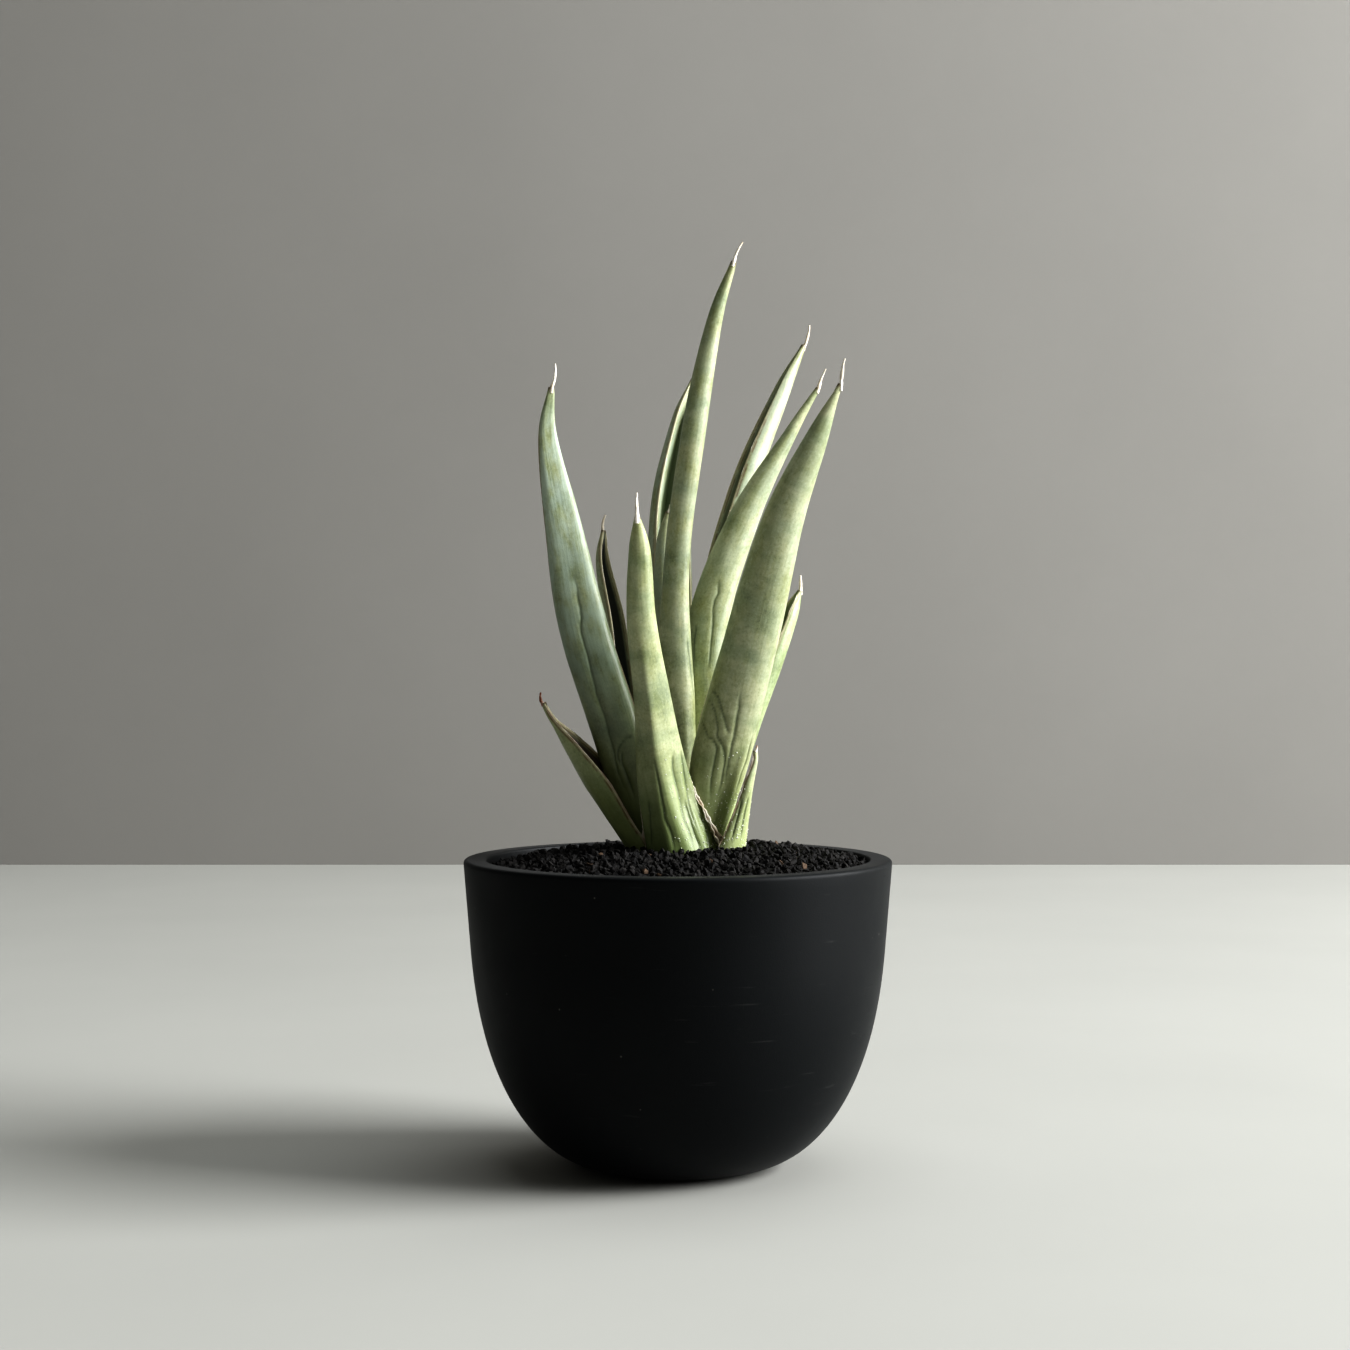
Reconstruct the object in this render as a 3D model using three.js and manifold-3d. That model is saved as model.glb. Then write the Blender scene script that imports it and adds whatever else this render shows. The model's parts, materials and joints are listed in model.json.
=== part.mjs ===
// A snake plant of twelve gutter-shaped leaves in a round-bottomed black pot filled with black grit.
// Millimetres, +Z up, +Y away from the front, origin at the centre of the pot's foot.
import * as THREE from "three";
import { mergeVertices } from "three/addons/utils/BufferGeometryUtils.js";
import Module from "manifold-3d";

const wasm = await Module();
wasm.setup();

// gap kept between pieces that touch
const clearance = 0.3;

const pot = {
  height: 86,
  rimRadius: 60,
  bowlHeight: 62,
  fullness: 2.3,
  flare: 7,
  footRadius: 18,
  wall: 6.3,
  floor: 6,
  floorRadius: 14,
  drainRadius: 5,
  outerRound: 1.4,
  innerRound: 0.7,
  around: 48,
  bowlSteps: 8,
};

// the grit is a low mound, slightly higher on the right
const soil = {
  crown: 89.4,
  drop: 5.4,
  sideSlope: 0.012,
  grain: 2.9,
  roughness: 1.2,
  jitter: 0.6,
  headroom: 5,
};

// the short underground stem, with its fleshy roots, just below the leaf bases
const rootstock = {
  top: 83.7,
  thickness: 11,
  halfLength: 15,
  halfDepth: 11,
  centre: [2, 0],
  bodySides: 16,
  shoulder: 0.33,
};

const roots = {
  count: 5,
  firstTurn: 0.38,
  startShare: 0.6,
  radius: 1.5,
  tipRadius: 0.7,
  reach: 30,
  reachSpread: 0.2,
  drop: 34,
  bendShare: 0.7,
  bendDrop: 3.4,
  steps: 5,
  sides: 6,
};

// every leaf is cut flat where it meets the underground stem
const leafFoot = 84;

// The channel fades towards the tip, where a negative channel bulges out and makes the section round.
// A grown leaf, used to hollow its neighbours, has its edges rolled further in to cover the lips.
const leaf = {
  edgeThickness: 0.6,
  tipHalfWidth: 0.8,
  awnNeck: 0.2,
  awnBase: 0.6,
  awnTip: 0.35,
  roundFrom: 0.8,
  roundChannel: -0.8,
  middle: 0.45,
  growRoll: 1.5,
  buried: 8,
  arcSteps: 9,
  channelSteps: 4,
  rings: 13,
};

// Each leaf: six points on its middle line from root to tip, its half width at the first five, the
// compass angle of its rounded back at root, middle and tip, the depth of the back as a share of the
// half width and of the channel as a share of that depth, how many degrees its edges roll in, and the
// dry awn at its tip. The list runs from the heart outwards.
const leaves = {
  leaf_young_spear: {
    spine: [
      [-0.5, 3.5, 84], [-1.5, 4.5, 109], [-2, 6, 134],
      [-3, 7, 155.5], [-3.5, 7.5, 173.5], [-2.5, 8, 183.5],
    ],
    half: [2.6, 2.9, 3.2, 3.2, 2.4],
    back: [-70, -70, -70],
    depth: [0.9, 0.95],
    channel: [0.3, 0.3],
    roll: [30, 30],
    awn: [0.3, 0, 2],
  },
  leaf_tallest: {
    spine: [
      [3.5, -1, 84], [0.5, -3, 126], [0, -5.5, 167.5],
      [4.5, -7.5, 204.5], [10, -8.5, 234.5], [15.5, -9, 251.5],
    ],
    half: [5.5, 5.8, 3.6, 3.4, 2.2],
    back: [-48, -80, -80],
    depth: [0.8, 0.95],
    channel: [0.4, 0.3],
    roll: [10, 30],
    awn: [3, 0, 5.5],
  },
  leaf_middle_back: {
    spine: [
      [-0.5, 8.5, 84], [-1.8, 9.5, 118.5], [-3.1, 13.5, 153],
      [-2.8, 18, 183.5], [1.2, 22, 208.5], [4.5, 24, 222.5],
    ],
    half: [4.8, 5.4, 6.5, 6, 4],
    back: [112, 109, 106],
    depth: [0.85, 0.9],
    channel: [0.6, 0.6],
    roll: [20, 30],
    awn: [1.5, 0, 3.5],
  },
  leaf_right_middle: {
    spine: [
      [8.5, 3, 84], [7, 3, 117.5], [8, 4.5, 151],
      [18.5, 6.5, 180.5], [32, 9, 205], [40, 10, 218.5],
    ],
    half: [4.6, 4.8, 5.8, 4.4, 2],
    back: [-106, -96, -50],
    depth: [0.6, 0.9],
    channel: [0.5, 0.4],
    roll: [0, 15],
    awn: [2, 0, 5.5],
  },
  leaf_right_front: {
    spine: [
      [6.5, -4, 84], [12.5, -8, 117], [20.5, -13, 150],
      [28.5, -18, 179], [38.5, -22.5, 202.5], [44, -25, 216],
    ],
    half: [4.2, 8.1, 7.4, 5.7, 3.1],
    back: [-106, -99, -50],
    depth: [0.6, 0.9],
    channel: [0.5, 0.4],
    roll: [0, 15],
    awn: [1, 0, 7],
  },
  leaf_right_back: {
    spine: [
      [9.5, 8, 84], [9, 11, 121], [11.5, 16.5, 158.5],
      [20, 22.5, 191], [30.5, 27.5, 218], [37, 30, 233],
    ],
    half: [4.5, 5.4, 5.5, 5, 3.2],
    back: [12, 12, 12],
    depth: [0.9, 1],
    channel: [0.5, 0.5],
    roll: [15, 25],
    awn: [1.5, 0, 6],
  },
  leaf_tall_left: {
    spine: [
      [-7.5, -2, 84], [-16, -4.5, 117], [-26, -8, 150],
      [-31.5, -12, 179], [-35.5, -15, 202.5], [-34.5, -17, 216],
    ],
    half: [5.5, 7, 6.8, 5, 2.6],
    back: [-92, -80, -80],
    depth: [0.6, 0.75],
    channel: [0.5, 0.4],
    roll: [0, 10],
    awn: [1, 0, 6.5],
  },
  leaf_short_left: {
    spine: [
      [-9.5, 5, 84], [-12.5, 6.5, 107.5], [-16.5, 9.5, 131.5],
      [-19, 13, 152], [-22, 15.5, 169], [-21.5, 17, 178.5],
    ],
    half: [4, 4.6, 4.7, 4, 2.6],
    back: [150, 150, 150],
    depth: [0.8, 0.9],
    channel: [0.5, 0.5],
    roll: [10, 15],
    awn: [0.7, 0, 4.5],
  },
  leaf_low_right: {
    spine: [
      [11, 3, 84], [15.5, 4, 103], [21.5, 6, 122.5],
      [27, 9, 139.5], [32, 11.5, 153], [35, 13, 161],
    ],
    half: [3, 2.6, 3, 4.4, 3.4],
    back: [24, 24, 24],
    depth: [0.9, 1],
    channel: [0.5, 0.5],
    roll: [10, 15],
    awn: [0, 0, 4.5],
  },
  leaf_front: {
    spine: [
      [3, -9, 84], [-3.5, -13.5, 108], [-7, -19, 132],
      [-10, -24, 153], [-10.5, -27, 170.5], [-11, -29, 180],
    ],
    half: [10.4, 7.4, 5, 4, 3],
    back: [-95, -97, -100],
    depth: [0.55, 0.95],
    channel: [0.5, 0.3],
    roll: [0, 25],
    awn: [0, 0, 6.5],
  },
  leaf_small_right: {
    spine: [
      [14.5, -5, 84], [16.5, -6.5, 92], [18.5, -8, 100.5],
      [20, -9.5, 107.5], [21.5, -10.5, 113.5], [21.5, -11, 116.5],
    ],
    half: [7.4, 4.9, 2.9, 1.9, 1],
    back: [-30, -30, -30],
    depth: [0.8, 0.9],
    channel: [0.5, 0.5],
    roll: [0, 10],
    awn: [0.2, 0, 1.5],
  },
  leaf_low_left: {
    spine: [
      [-7.5, -2, 84], [-15, -3, 95.5], [-22, -4, 107],
      [-29, -5.5, 117], [-35, -6.5, 125], [-37.5, -7, 129.5],
    ],
    half: [5.1, 5.2, 6, 3.8, 1.2],
    back: [178, 175, 172],
    depth: [1.1, 1.1],
    channel: [0.5, 0.5],
    roll: [5, 10],
    awn: [-0.6, 0, 3],
  },
};

// materials
function potMaterial() {
  return new THREE.MeshStandardMaterial({ color: 0x14161a, roughness: 0.55, metalness: 0 });
}

function soilMaterial() {
  return new THREE.MeshStandardMaterial({ color: 0x15130f, roughness: 0.95, metalness: 0 });
}

function rootMaterial() {
  return new THREE.MeshStandardMaterial({ color: 0xb98a52, roughness: 0.8, metalness: 0 });
}

function leafMaterial() {
  return new THREE.MeshStandardMaterial({ color: 0xa3b08a, roughness: 0.5, metalness: 0 });
}

// solids
function toSolid(geometry) {
  const bare = geometry.clone();
  bare.deleteAttribute("normal");
  bare.deleteAttribute("uv");
  const merged = mergeVertices(bare, 1e-4);
  const mesh = new wasm.Mesh({
    numProp: 3,
    vertProperties: new Float32Array(merged.attributes.position.array),
    triVerts: new Uint32Array(merged.index.array),
  });
  return new wasm.Manifold(mesh);
}

function toMesh(name, solid, material) {
  const { vertProperties, triVerts } = solid.getMesh();
  const geometry = new THREE.BufferGeometry();
  geometry.setAttribute("position", new THREE.BufferAttribute(new Float32Array(vertProperties), 3));
  geometry.setIndex(new THREE.BufferAttribute(new Uint32Array(triVerts), 1));
  geometry.computeVertexNormals();
  const mesh = new THREE.Mesh(geometry, material);
  mesh.name = name;
  return mesh;
}

// keeps the largest body, so that a sliver cut loose by a neighbour is left out
function largestBody(solid) {
  const bodies = solid.decompose();
  return bodies.reduce((best, body) => (body.volume() > best.volume() ? body : best));
}

// a turned solid standing on Z, from its profile's [radius, height] points
function turned(profile) {
  const points = profile.map(([radius, height]) => new THREE.Vector2(radius, height));
  points.push(points[0].clone());
  const geometry = new THREE.LatheGeometry(points, pot.around);
  geometry.rotateX(Math.PI / 2);
  return toSolid(geometry);
}

// a solid through rings of equal length, closed by a fan at each end
function lofted(rings) {
  const size = rings[0].length;
  const positions = rings.flat().flatMap((point) => point.toArray());
  const last = (rings.length - 1) * size;
  const index = [];
  for (let ring = 0; ring < rings.length - 1; ring += 1) {
    for (let side = 0; side < size; side += 1) {
      const here = ring * size + side;
      const next = ring * size + ((side + 1) % size);
      index.push(here, next, next + size, here, next + size, here + size);
    }
  }
  for (let side = 1; side < size - 1; side += 1) {
    index.push(0, side + 1, side, last, last + side, last + side + 1);
  }
  const geometry = new THREE.BufferGeometry();
  geometry.setAttribute("position", new THREE.Float32BufferAttribute(positions, 3));
  geometry.setIndex(index);
  return toSolid(geometry);
}

// pot
// a full round bowl, and a straight flare added all the way up
function bowlCurve(footRadius, rimRadius, floorHeight) {
  return Array.from({ length: pot.bowlSteps + 1 }, (_, step) => {
    const share = 1 - Math.cos((step / pot.bowlSteps) * (Math.PI / 2));
    const round = (1 - (1 - share) ** pot.fullness) ** (1 / pot.fullness);
    const height = floorHeight + (pot.bowlHeight - floorHeight) * share;
    const flared = (pot.flare * height) / pot.height;
    return [footRadius + (rimRadius - pot.flare - footRadius) * round + flared, height];
  });
}

function innerWall(shrink) {
  const bowl = bowlCurve(
    pot.floorRadius - shrink,
    pot.rimRadius - pot.wall - shrink,
    pot.floor + shrink,
  );
  return [...bowl, [pot.rimRadius - pot.wall - shrink, pot.height]];
}

function potSolid() {
  const { rimRadius, wall, height, outerRound, innerRound, drainRadius, floor } = pot;
  const outside = bowlCurve(pot.footRadius, pot.rimRadius, 0);
  const slant = 1 - Math.SQRT1_2;
  const inside = innerWall(0);
  inside.pop();
  return turned([
    [drainRadius, 0],
    ...outside,
    [rimRadius, height - outerRound],
    [rimRadius - outerRound * slant, height - outerRound * slant],
    [rimRadius - outerRound, height],
    [rimRadius - wall + innerRound, height],
    [rimRadius - wall + innerRound * slant, height - innerRound * slant],
    [rimRadius - wall, height - innerRound],
    ...inside.reverse(),
    [drainRadius, floor],
  ]);
}

// leaves
// half width at a share of the way along, through evenly spaced values and with no overshoot
function widthAlong(half, share) {
  const values = [...half, leaf.tipHalfWidth];
  const spans = values.length - 1;
  const rise = (i) => values[i + 1] - values[i];
  const slope = (i) => {
    if (i === 0) return rise(0);
    if (i === spans) return rise(spans - 1);
    const product = rise(i - 1) * rise(i);
    return product > 0 ? (2 * product) / (rise(i - 1) + rise(i)) : 0;
  };
  const i = Math.min(Math.floor(share * spans), spans - 1);
  const t = share * spans - i;
  return (
    (1 + 2 * t) * (1 - t) ** 2 * values[i] +
    t * (1 - t) ** 2 * slope(i) +
    t * t * (3 - 2 * t) * values[i + 1] +
    t * t * (t - 1) * slope(i + 1)
  );
}

// one gutter-shaped section in [across, towards the back] pairs, grown all round by the given amount
function leafSection(half, deep, channel, roll, grown) {
  const width = half + grown;
  const depth = half * deep + grown;
  const rolled = THREE.MathUtils.degToRad(roll) + (leaf.growRoll * grown) / half;
  const points = [];
  for (let step = 0; step <= leaf.arcSteps; step += 1) {
    const angle = -rolled + ((Math.PI + 2 * rolled) * step) / leaf.arcSteps;
    points.push([width * Math.cos(angle), depth * Math.sin(angle)]);
  }
  const edge = Math.min(leaf.edgeThickness, half / 2) + 2 * grown;
  const inward = new THREE.Vector2(-depth * Math.cos(rolled), width * Math.sin(rolled)).setLength(edge);
  const lip = [width * Math.cos(rolled) + inward.x, -depth * Math.sin(rolled) + inward.y];
  const bottom = channel * half * deep - grown;
  for (let step = 0; step <= leaf.channelSteps; step += 1) {
    const across = -1 + (2 * step) / leaf.channelSteps;
    points.push([across * lip[0], lip[1] + (bottom - lip[1]) * (1 - across * across)]);
  }
  return points;
}

function ringAt(place, along, backAngle, section, sink) {
  const angle = THREE.MathUtils.degToRad(backAngle);
  const back = new THREE.Vector3(Math.cos(angle), Math.sin(angle), 0);
  back.addScaledVector(along, -back.dot(along)).normalize();
  const across = new THREE.Vector3().crossVectors(back, along);
  return section.map(([u, v]) =>
    place.clone().addScaledVector(across, u).addScaledVector(back, v - sink),
  );
}

// the angle part way along a leaf, on a smooth curve through its root, middle and tip values
function turnedBack([root, middle, tip], share) {
  const bend = 2 * (root + tip) - 4 * middle;
  return root + (tip - root - bend) * share + bend * share * share;
}

function leafSolid(spec, grown) {
  const { half, back, depth, channel, roll, awn } = spec;
  const points = spec.spine.map((point) => new THREE.Vector3(...point));
  const spine = new THREE.CatmullRomCurve3(points, false, "catmullrom", 0.5);
  const mix = (pair, share) => THREE.MathUtils.lerp(pair[0], pair[1], share);
  const rings = Array.from({ length: leaf.rings }, (_, step) => {
    const share = step / (leaf.rings - 1);
    const width = widthAlong(half, share);
    const fade = THREE.MathUtils.clamp((share - leaf.roundFrom) / (1 - leaf.roundFrom), 0, 1);
    const hollow = THREE.MathUtils.lerp(mix(channel, share), leaf.roundChannel, fade);
    const deep = mix(depth, share);
    const section = leafSection(width, deep, hollow, mix(roll, share), grown);
    const sink = leaf.middle * width * deep;
    const along = spine.getTangent(share);
    return ringAt(spine.getPoint(share), along, turnedBack(back, share), section, sink);
  });
  const start = spine.getTangent(0).multiplyScalar(-leaf.buried);
  rings.unshift(rings[0].map((point) => point.clone().add(start)));
  const tip = points[points.length - 1];
  const reach = new THREE.Vector3(...awn);
  const along = reach.clone().normalize();
  for (const [share, radius] of [[leaf.awnNeck, leaf.awnBase], [1, leaf.awnTip]]) {
    const section = leafSection(radius, 1, leaf.roundChannel, roll[1], grown);
    const place = tip.clone().addScaledVector(reach, share);
    rings.push(ringAt(place, along, turnedBack(back, 1), section, 0));
  }
  return lofted(rings);
}

function belowFoot() {
  const block = new THREE.BoxGeometry(pot.rimRadius * 2, pot.rimRadius * 2, leafFoot);
  block.translate(0, 0, leafFoot / 2);
  return toSolid(block);
}

// leaves nest like sheaths: each is hollowed to make room for those nearer the heart
function nestedLeaves() {
  const ground = belowFoot();
  const placed = [];
  return Object.entries(leaves).map(([name, spec]) => {
    let solid = leafSolid(spec, 0).subtract(ground);
    for (const inner of placed) {
      solid = solid.subtract(inner);
    }
    placed.push(leafSolid(spec, clearance));
    return [name, largestBody(solid)];
  });
}

// underground stem
function rootstockSolid(grown) {
  const { top, thickness, halfLength, halfDepth, centre, bodySides, shoulder } = rootstock;
  const body = new THREE.SphereGeometry(1, bodySides, bodySides / 2);
  body.scale(halfLength + grown, halfDepth + grown, thickness + grown);
  body.translate(centre[0], centre[1], top - thickness * shoulder);
  let solid = toSolid(body);
  for (let i = 0; i < roots.count; i += 1) {
    solid = solid.add(rootSolid(i, grown));
  }
  const above = new THREE.BoxGeometry(pot.rimRadius, pot.rimRadius, pot.height);
  above.translate(centre[0], centre[1], top + grown + pot.height / 2);
  return solid.subtract(toSolid(above));
}

function rootSolid(i, grown) {
  const { top, thickness, centre } = rootstock;
  const turn = ((i + roots.firstTurn) / roots.count) * Math.PI * 2;
  const reach = roots.reach * (1 - roots.reachSpread * scatter(i, 0));
  const outward = new THREE.Vector3(Math.cos(turn), Math.sin(turn), 0);
  const from = new THREE.Vector3(centre[0], centre[1], top - thickness * roots.startShare);
  const bend = from.clone().addScaledVector(outward, reach * roots.bendShare);
  const end = from.clone().addScaledVector(outward, reach);
  bend.z -= roots.bendDrop;
  end.z -= roots.drop;
  const curve = new THREE.QuadraticBezierCurve3(from, bend, end);
  const sideways = THREE.MathUtils.radToDeg(turn) + 90;
  const rings = Array.from({ length: roots.steps + 1 }, (_, step) => {
    const share = step / roots.steps;
    const radius = THREE.MathUtils.lerp(roots.radius, roots.tipRadius, share) + grown;
    const section = Array.from({ length: roots.sides }, (_, side) => {
      const angle = (side / roots.sides) * Math.PI * 2;
      return [radius * Math.cos(angle), radius * Math.sin(angle)];
    });
    return ringAt(curve.getPoint(share), curve.getTangent(share), sideways, section, 0);
  });
  return lofted(rings);
}

// soil
// a repeatable draw between -0.5 and 0.5 from two whole numbers
function scatter(seed, kind) {
  const wave = Math.sin(seed * 12.9898 + kind * 78.233) * 43758.5453;
  return wave - Math.floor(wave) - 0.5;
}

function soilHeight(x, y) {
  const outward = Math.hypot(x, y) / (pot.rimRadius - pot.wall);
  return soil.crown - soil.drop * outward ** 3 + soil.sideSlope * x;
}

// gritty top as rings of points, each ring six points longer than the last
function gritRings() {
  const rings = Math.ceil(pot.rimRadius / soil.grain);
  const points = [];
  for (let ring = 0; ring <= rings; ring += 1) {
    const count = Math.max(ring * 6, 1);
    for (let i = 0; i < count; i += 1) {
      const seed = points.length + 1;
      const angle = (i / count) * Math.PI * 2;
      const radius = ring * soil.grain;
      const x = radius * Math.cos(angle) + soil.jitter * scatter(seed, 1);
      const y = radius * Math.sin(angle) + soil.jitter * scatter(seed, 2);
      points.push([x, y, soilHeight(x, y) + soil.roughness * scatter(seed, 3)]);
    }
  }
  return { rings, points };
}

function gritSolid() {
  const { rings, points } = gritRings();
  const firstOf = (ring) => (ring === 0 ? 0 : 1 + 3 * ring * (ring - 1));
  const index = [];
  for (let ring = 1; ring <= rings; ring += 1) {
    const outer = (i) => firstOf(ring) + (i % (6 * ring));
    const inner = (i) => (ring === 1 ? 0 : firstOf(ring - 1) + (i % (6 * (ring - 1))));
    for (let sector = 0; sector < 6; sector += 1) {
      for (let i = 0; i < ring; i += 1) {
        const out = sector * ring + i;
        const into = sector * (ring - 1) + i;
        index.push(outer(out), outer(out + 1), inner(into));
        if (i < ring - 1) index.push(inner(into), outer(out + 1), inner(into + 1));
      }
    }
  }
  const rim = 6 * rings;
  const centre = points.length;
  const base = centre + 1;
  points.push([0, 0, 0]);
  for (let i = 0; i < rim; i += 1) {
    const [x, y] = points[firstOf(rings) + i];
    points.push([x, y, 0]);
  }
  for (let i = 0; i < rim; i += 1) {
    const here = firstOf(rings) + i;
    const next = firstOf(rings) + ((i + 1) % rim);
    const under = base + i;
    const underNext = base + ((i + 1) % rim);
    index.push(here, under, next, next, under, underNext, centre, underNext, under);
  }
  const geometry = new THREE.BufferGeometry();
  geometry.setAttribute("position", new THREE.Float32BufferAttribute(points.flat(), 3));
  geometry.setIndex(index);
  return toSolid(geometry);
}

function soilSolid() {
  const wall = innerWall(clearance);
  const [radius] = wall[wall.length - 1];
  const top = soil.crown + soil.headroom;
  const fill = turned([[0, pot.floor + clearance], ...wall, [radius, top], [0, top]]);
  let solid = gritSolid().intersect(fill);
  for (const spec of Object.values(leaves)) {
    solid = solid.subtract(leafSolid(spec, clearance));
  }
  return largestBody(solid.subtract(rootstockSolid(clearance)));
}

const plant = new THREE.Group();
plant.add(toMesh("pot", potSolid(), potMaterial()));
plant.add(toMesh("soil", soilSolid(), soilMaterial()));
plant.add(toMesh("rootstock", rootstockSolid(0), rootMaterial()));
for (const [name, solid] of nestedLeaves()) {
  plant.add(toMesh(name, solid, leafMaterial()));
}

export default plant;
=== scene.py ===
# A snake plant of twelve gutter-shaped leaves in a round-bottomed black pot filled with black grit.
# Metres, +Z up, the origin at the centre of the pot's foot. Sizes in the dictionaries of the plant,
# the pot and the soil are millimetres.
import json
import math
import random

import bmesh
import bpy
import numpy as np
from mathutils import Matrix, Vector, noise

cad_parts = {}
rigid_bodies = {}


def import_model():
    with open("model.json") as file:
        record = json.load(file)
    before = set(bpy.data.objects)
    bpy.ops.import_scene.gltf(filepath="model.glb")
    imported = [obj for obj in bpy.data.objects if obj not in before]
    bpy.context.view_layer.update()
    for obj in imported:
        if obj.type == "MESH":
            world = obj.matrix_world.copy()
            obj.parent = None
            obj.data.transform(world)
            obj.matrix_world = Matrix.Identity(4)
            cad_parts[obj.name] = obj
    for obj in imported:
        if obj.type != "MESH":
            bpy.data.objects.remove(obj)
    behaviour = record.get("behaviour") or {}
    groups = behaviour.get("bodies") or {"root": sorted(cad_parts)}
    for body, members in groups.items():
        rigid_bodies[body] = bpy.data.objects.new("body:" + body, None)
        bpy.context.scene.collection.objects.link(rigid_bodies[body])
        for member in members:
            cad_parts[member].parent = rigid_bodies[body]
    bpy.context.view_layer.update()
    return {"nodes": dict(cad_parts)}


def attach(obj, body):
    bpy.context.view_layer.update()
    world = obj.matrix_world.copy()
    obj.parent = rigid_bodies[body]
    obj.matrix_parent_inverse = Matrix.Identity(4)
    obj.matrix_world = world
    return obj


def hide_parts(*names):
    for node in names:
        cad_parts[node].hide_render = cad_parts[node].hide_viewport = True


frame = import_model()
mm = 0.001
print("frame loaded:", len(frame["nodes"]), "nodes")


# small helpers for node trees

def tone(red, green, blue):
    # a colour as it looks on screen, 0 to 255, turned into the linear one that shaders want
    def linear(value):
        share = value / 255
        return share / 12.92 if share <= 0.04045 else ((share + 0.055) / 1.055) ** 2.4
    return (linear(red), linear(green), linear(blue), 1.0)


def addNode(tree, kind, inputs=None, **settings):
    node = tree.nodes.new(kind)
    for key, value in settings.items():
        setattr(node, key, value)
    for key, value in (inputs or {}).items():
        if isinstance(value, bpy.types.NodeSocket):
            tree.links.new(value, node.inputs[key])
        else:
            node.inputs[key].default_value = value
    return node


def calc(tree, operation, first, second=0.0, clamp=False):
    node = addNode(tree, "ShaderNodeMath", {0: first, 1: second}, operation=operation, use_clamp=clamp)
    return node.outputs[0]


def product(tree, first, *others):
    # multiplied in turn, each result kept between 0 and 1
    for other in others:
        first = calc(tree, "MULTIPLY", first, other, clamp=True)
    return first


def stretch(tree, value, low, high, outLow=0.0, outHigh=1.0):
    node = addNode(
        tree, "ShaderNodeMapRange",
        {"Value": value, "From Min": low, "From Max": high, "To Min": outLow, "To Max": outHigh},
        interpolation_type="SMOOTHSTEP",
    )
    return node.outputs["Result"]


def blendColor(tree, share, first, second, mode="MIX"):
    node = addNode(
        tree, "ShaderNodeMix", {"Factor": share, 6: first, 7: second},
        data_type="RGBA", blend_type=mode,
    )
    return node.outputs[2]


def objectPlace(tree):
    return addNode(tree, "ShaderNodeTexCoord").outputs["Object"]


def clouds(tree, place, scale, detail):
    values = {"Vector": place, "Scale": scale, "Detail": detail}
    return addNode(tree, "ShaderNodeTexNoise", values).outputs["Fac"]


def axesOf(tree, vector):
    return addNode(tree, "ShaderNodeSeparateXYZ", {0: vector}).outputs


def addRelief(tree, shader, height, strength, distance):
    values = {"Height": height, "Strength": strength, "Distance": distance}
    tree.links.new(addNode(tree, "ShaderNodeBump", values).outputs[0], shader.inputs["Normal"])


def newGroup(name, inputs, outputs, kind="ShaderNodeTree"):
    # inputs and outputs are names, each with the kind of its socket
    tree = bpy.data.node_groups.new(name, kind)
    for way, sockets in (("INPUT", inputs), ("OUTPUT", outputs)):
        for label, socketKind in sockets.items():
            tree.interface.new_socket(name=label, in_out=way, socket_type="NodeSocket" + socketKind)
    source = tree.nodes.new("NodeGroupInput")
    sink = tree.nodes.new("NodeGroupOutput")
    return tree, source.outputs, sink.inputs


def closeTree(tree, geometry, surface, sink):
    # every geometry tree ends as real faces with a material
    solid = addNode(tree, "GeometryNodeRealizeInstances", {"Geometry": geometry}).outputs[0]
    done = addNode(tree, "GeometryNodeSetMaterial", {"Geometry": solid, "Material": surface}).outputs[0]
    tree.links.new(done, sink)


def namedShare(tree, name):
    return addNode(tree, "GeometryNodeInputNamedAttribute", {"Name": name}, data_type="FLOAT").outputs[0]


def newMaterial(name, **constants):
    material = bpy.data.materials.new(name)
    material.use_nodes = True
    shader = material.node_tree.nodes["Principled BSDF"]
    for key, value in constants.items():
        shader.inputs[key.replace("_", " ")].default_value = value
    return material, material.node_tree, shader


# small helpers for meshes and objects

def linkObject(name, mesh):
    item = bpy.data.objects.new(name, mesh)
    bpy.context.scene.collection.objects.link(item)
    return item


def markPoints(mesh, label, values):
    mesh.attributes.new(label, "FLOAT", "POINT").data.foreach_set("value", values)


def tubeFaces(rings, around, first=0):
    # four-sided faces between neighbouring rings of points
    faces = []
    for ring in range(rings - 1):
        low = first + ring * around
        for side in range(around):
            other = (side + 1) % around
            faces.append((low + side, low + other, low + around + other, low + around + side))
    return faces


def grownPiece(carrier, tree, values, name):
    # runs a geometry tree on a carrier mesh and keeps the result as a plain mesh
    modifier = carrier.modifiers.new("grow", "NODES")
    modifier.node_group = tree
    for socket in tree.interface.items_tree:
        if socket.item_type == "SOCKET" and socket.in_out == "INPUT" and socket.name in values:
            modifier[socket.identifier] = values[socket.name]
    carrier.update_tag()
    graph = bpy.context.evaluated_depsgraph_get()
    mesh = bpy.data.meshes.new_from_object(carrier.evaluated_get(graph))
    carrier.modifiers.remove(modifier)
    bpy.data.objects.remove(carrier)
    mesh.name = name
    return linkObject(name, mesh)


def faceOutward(mesh):
    # a closed mesh whose faces point inwards has a negative volume
    work = bmesh.new()
    work.from_mesh(mesh)
    bmesh.ops.remove_doubles(work, verts=work.verts, dist=1e-7)
    if work.calc_volume(signed=True) < 0:
        bmesh.ops.reverse_faces(work, faces=work.faces)
    work.to_mesh(mesh)
    work.free()


def finishPiece(piece, slotName, *nodeNames, smooth=True):
    for face in piece.data.polygons:
        face.use_smooth = smooth
    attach(piece, "root")
    if nodeNames:
        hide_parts(*nodeNames)


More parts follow.
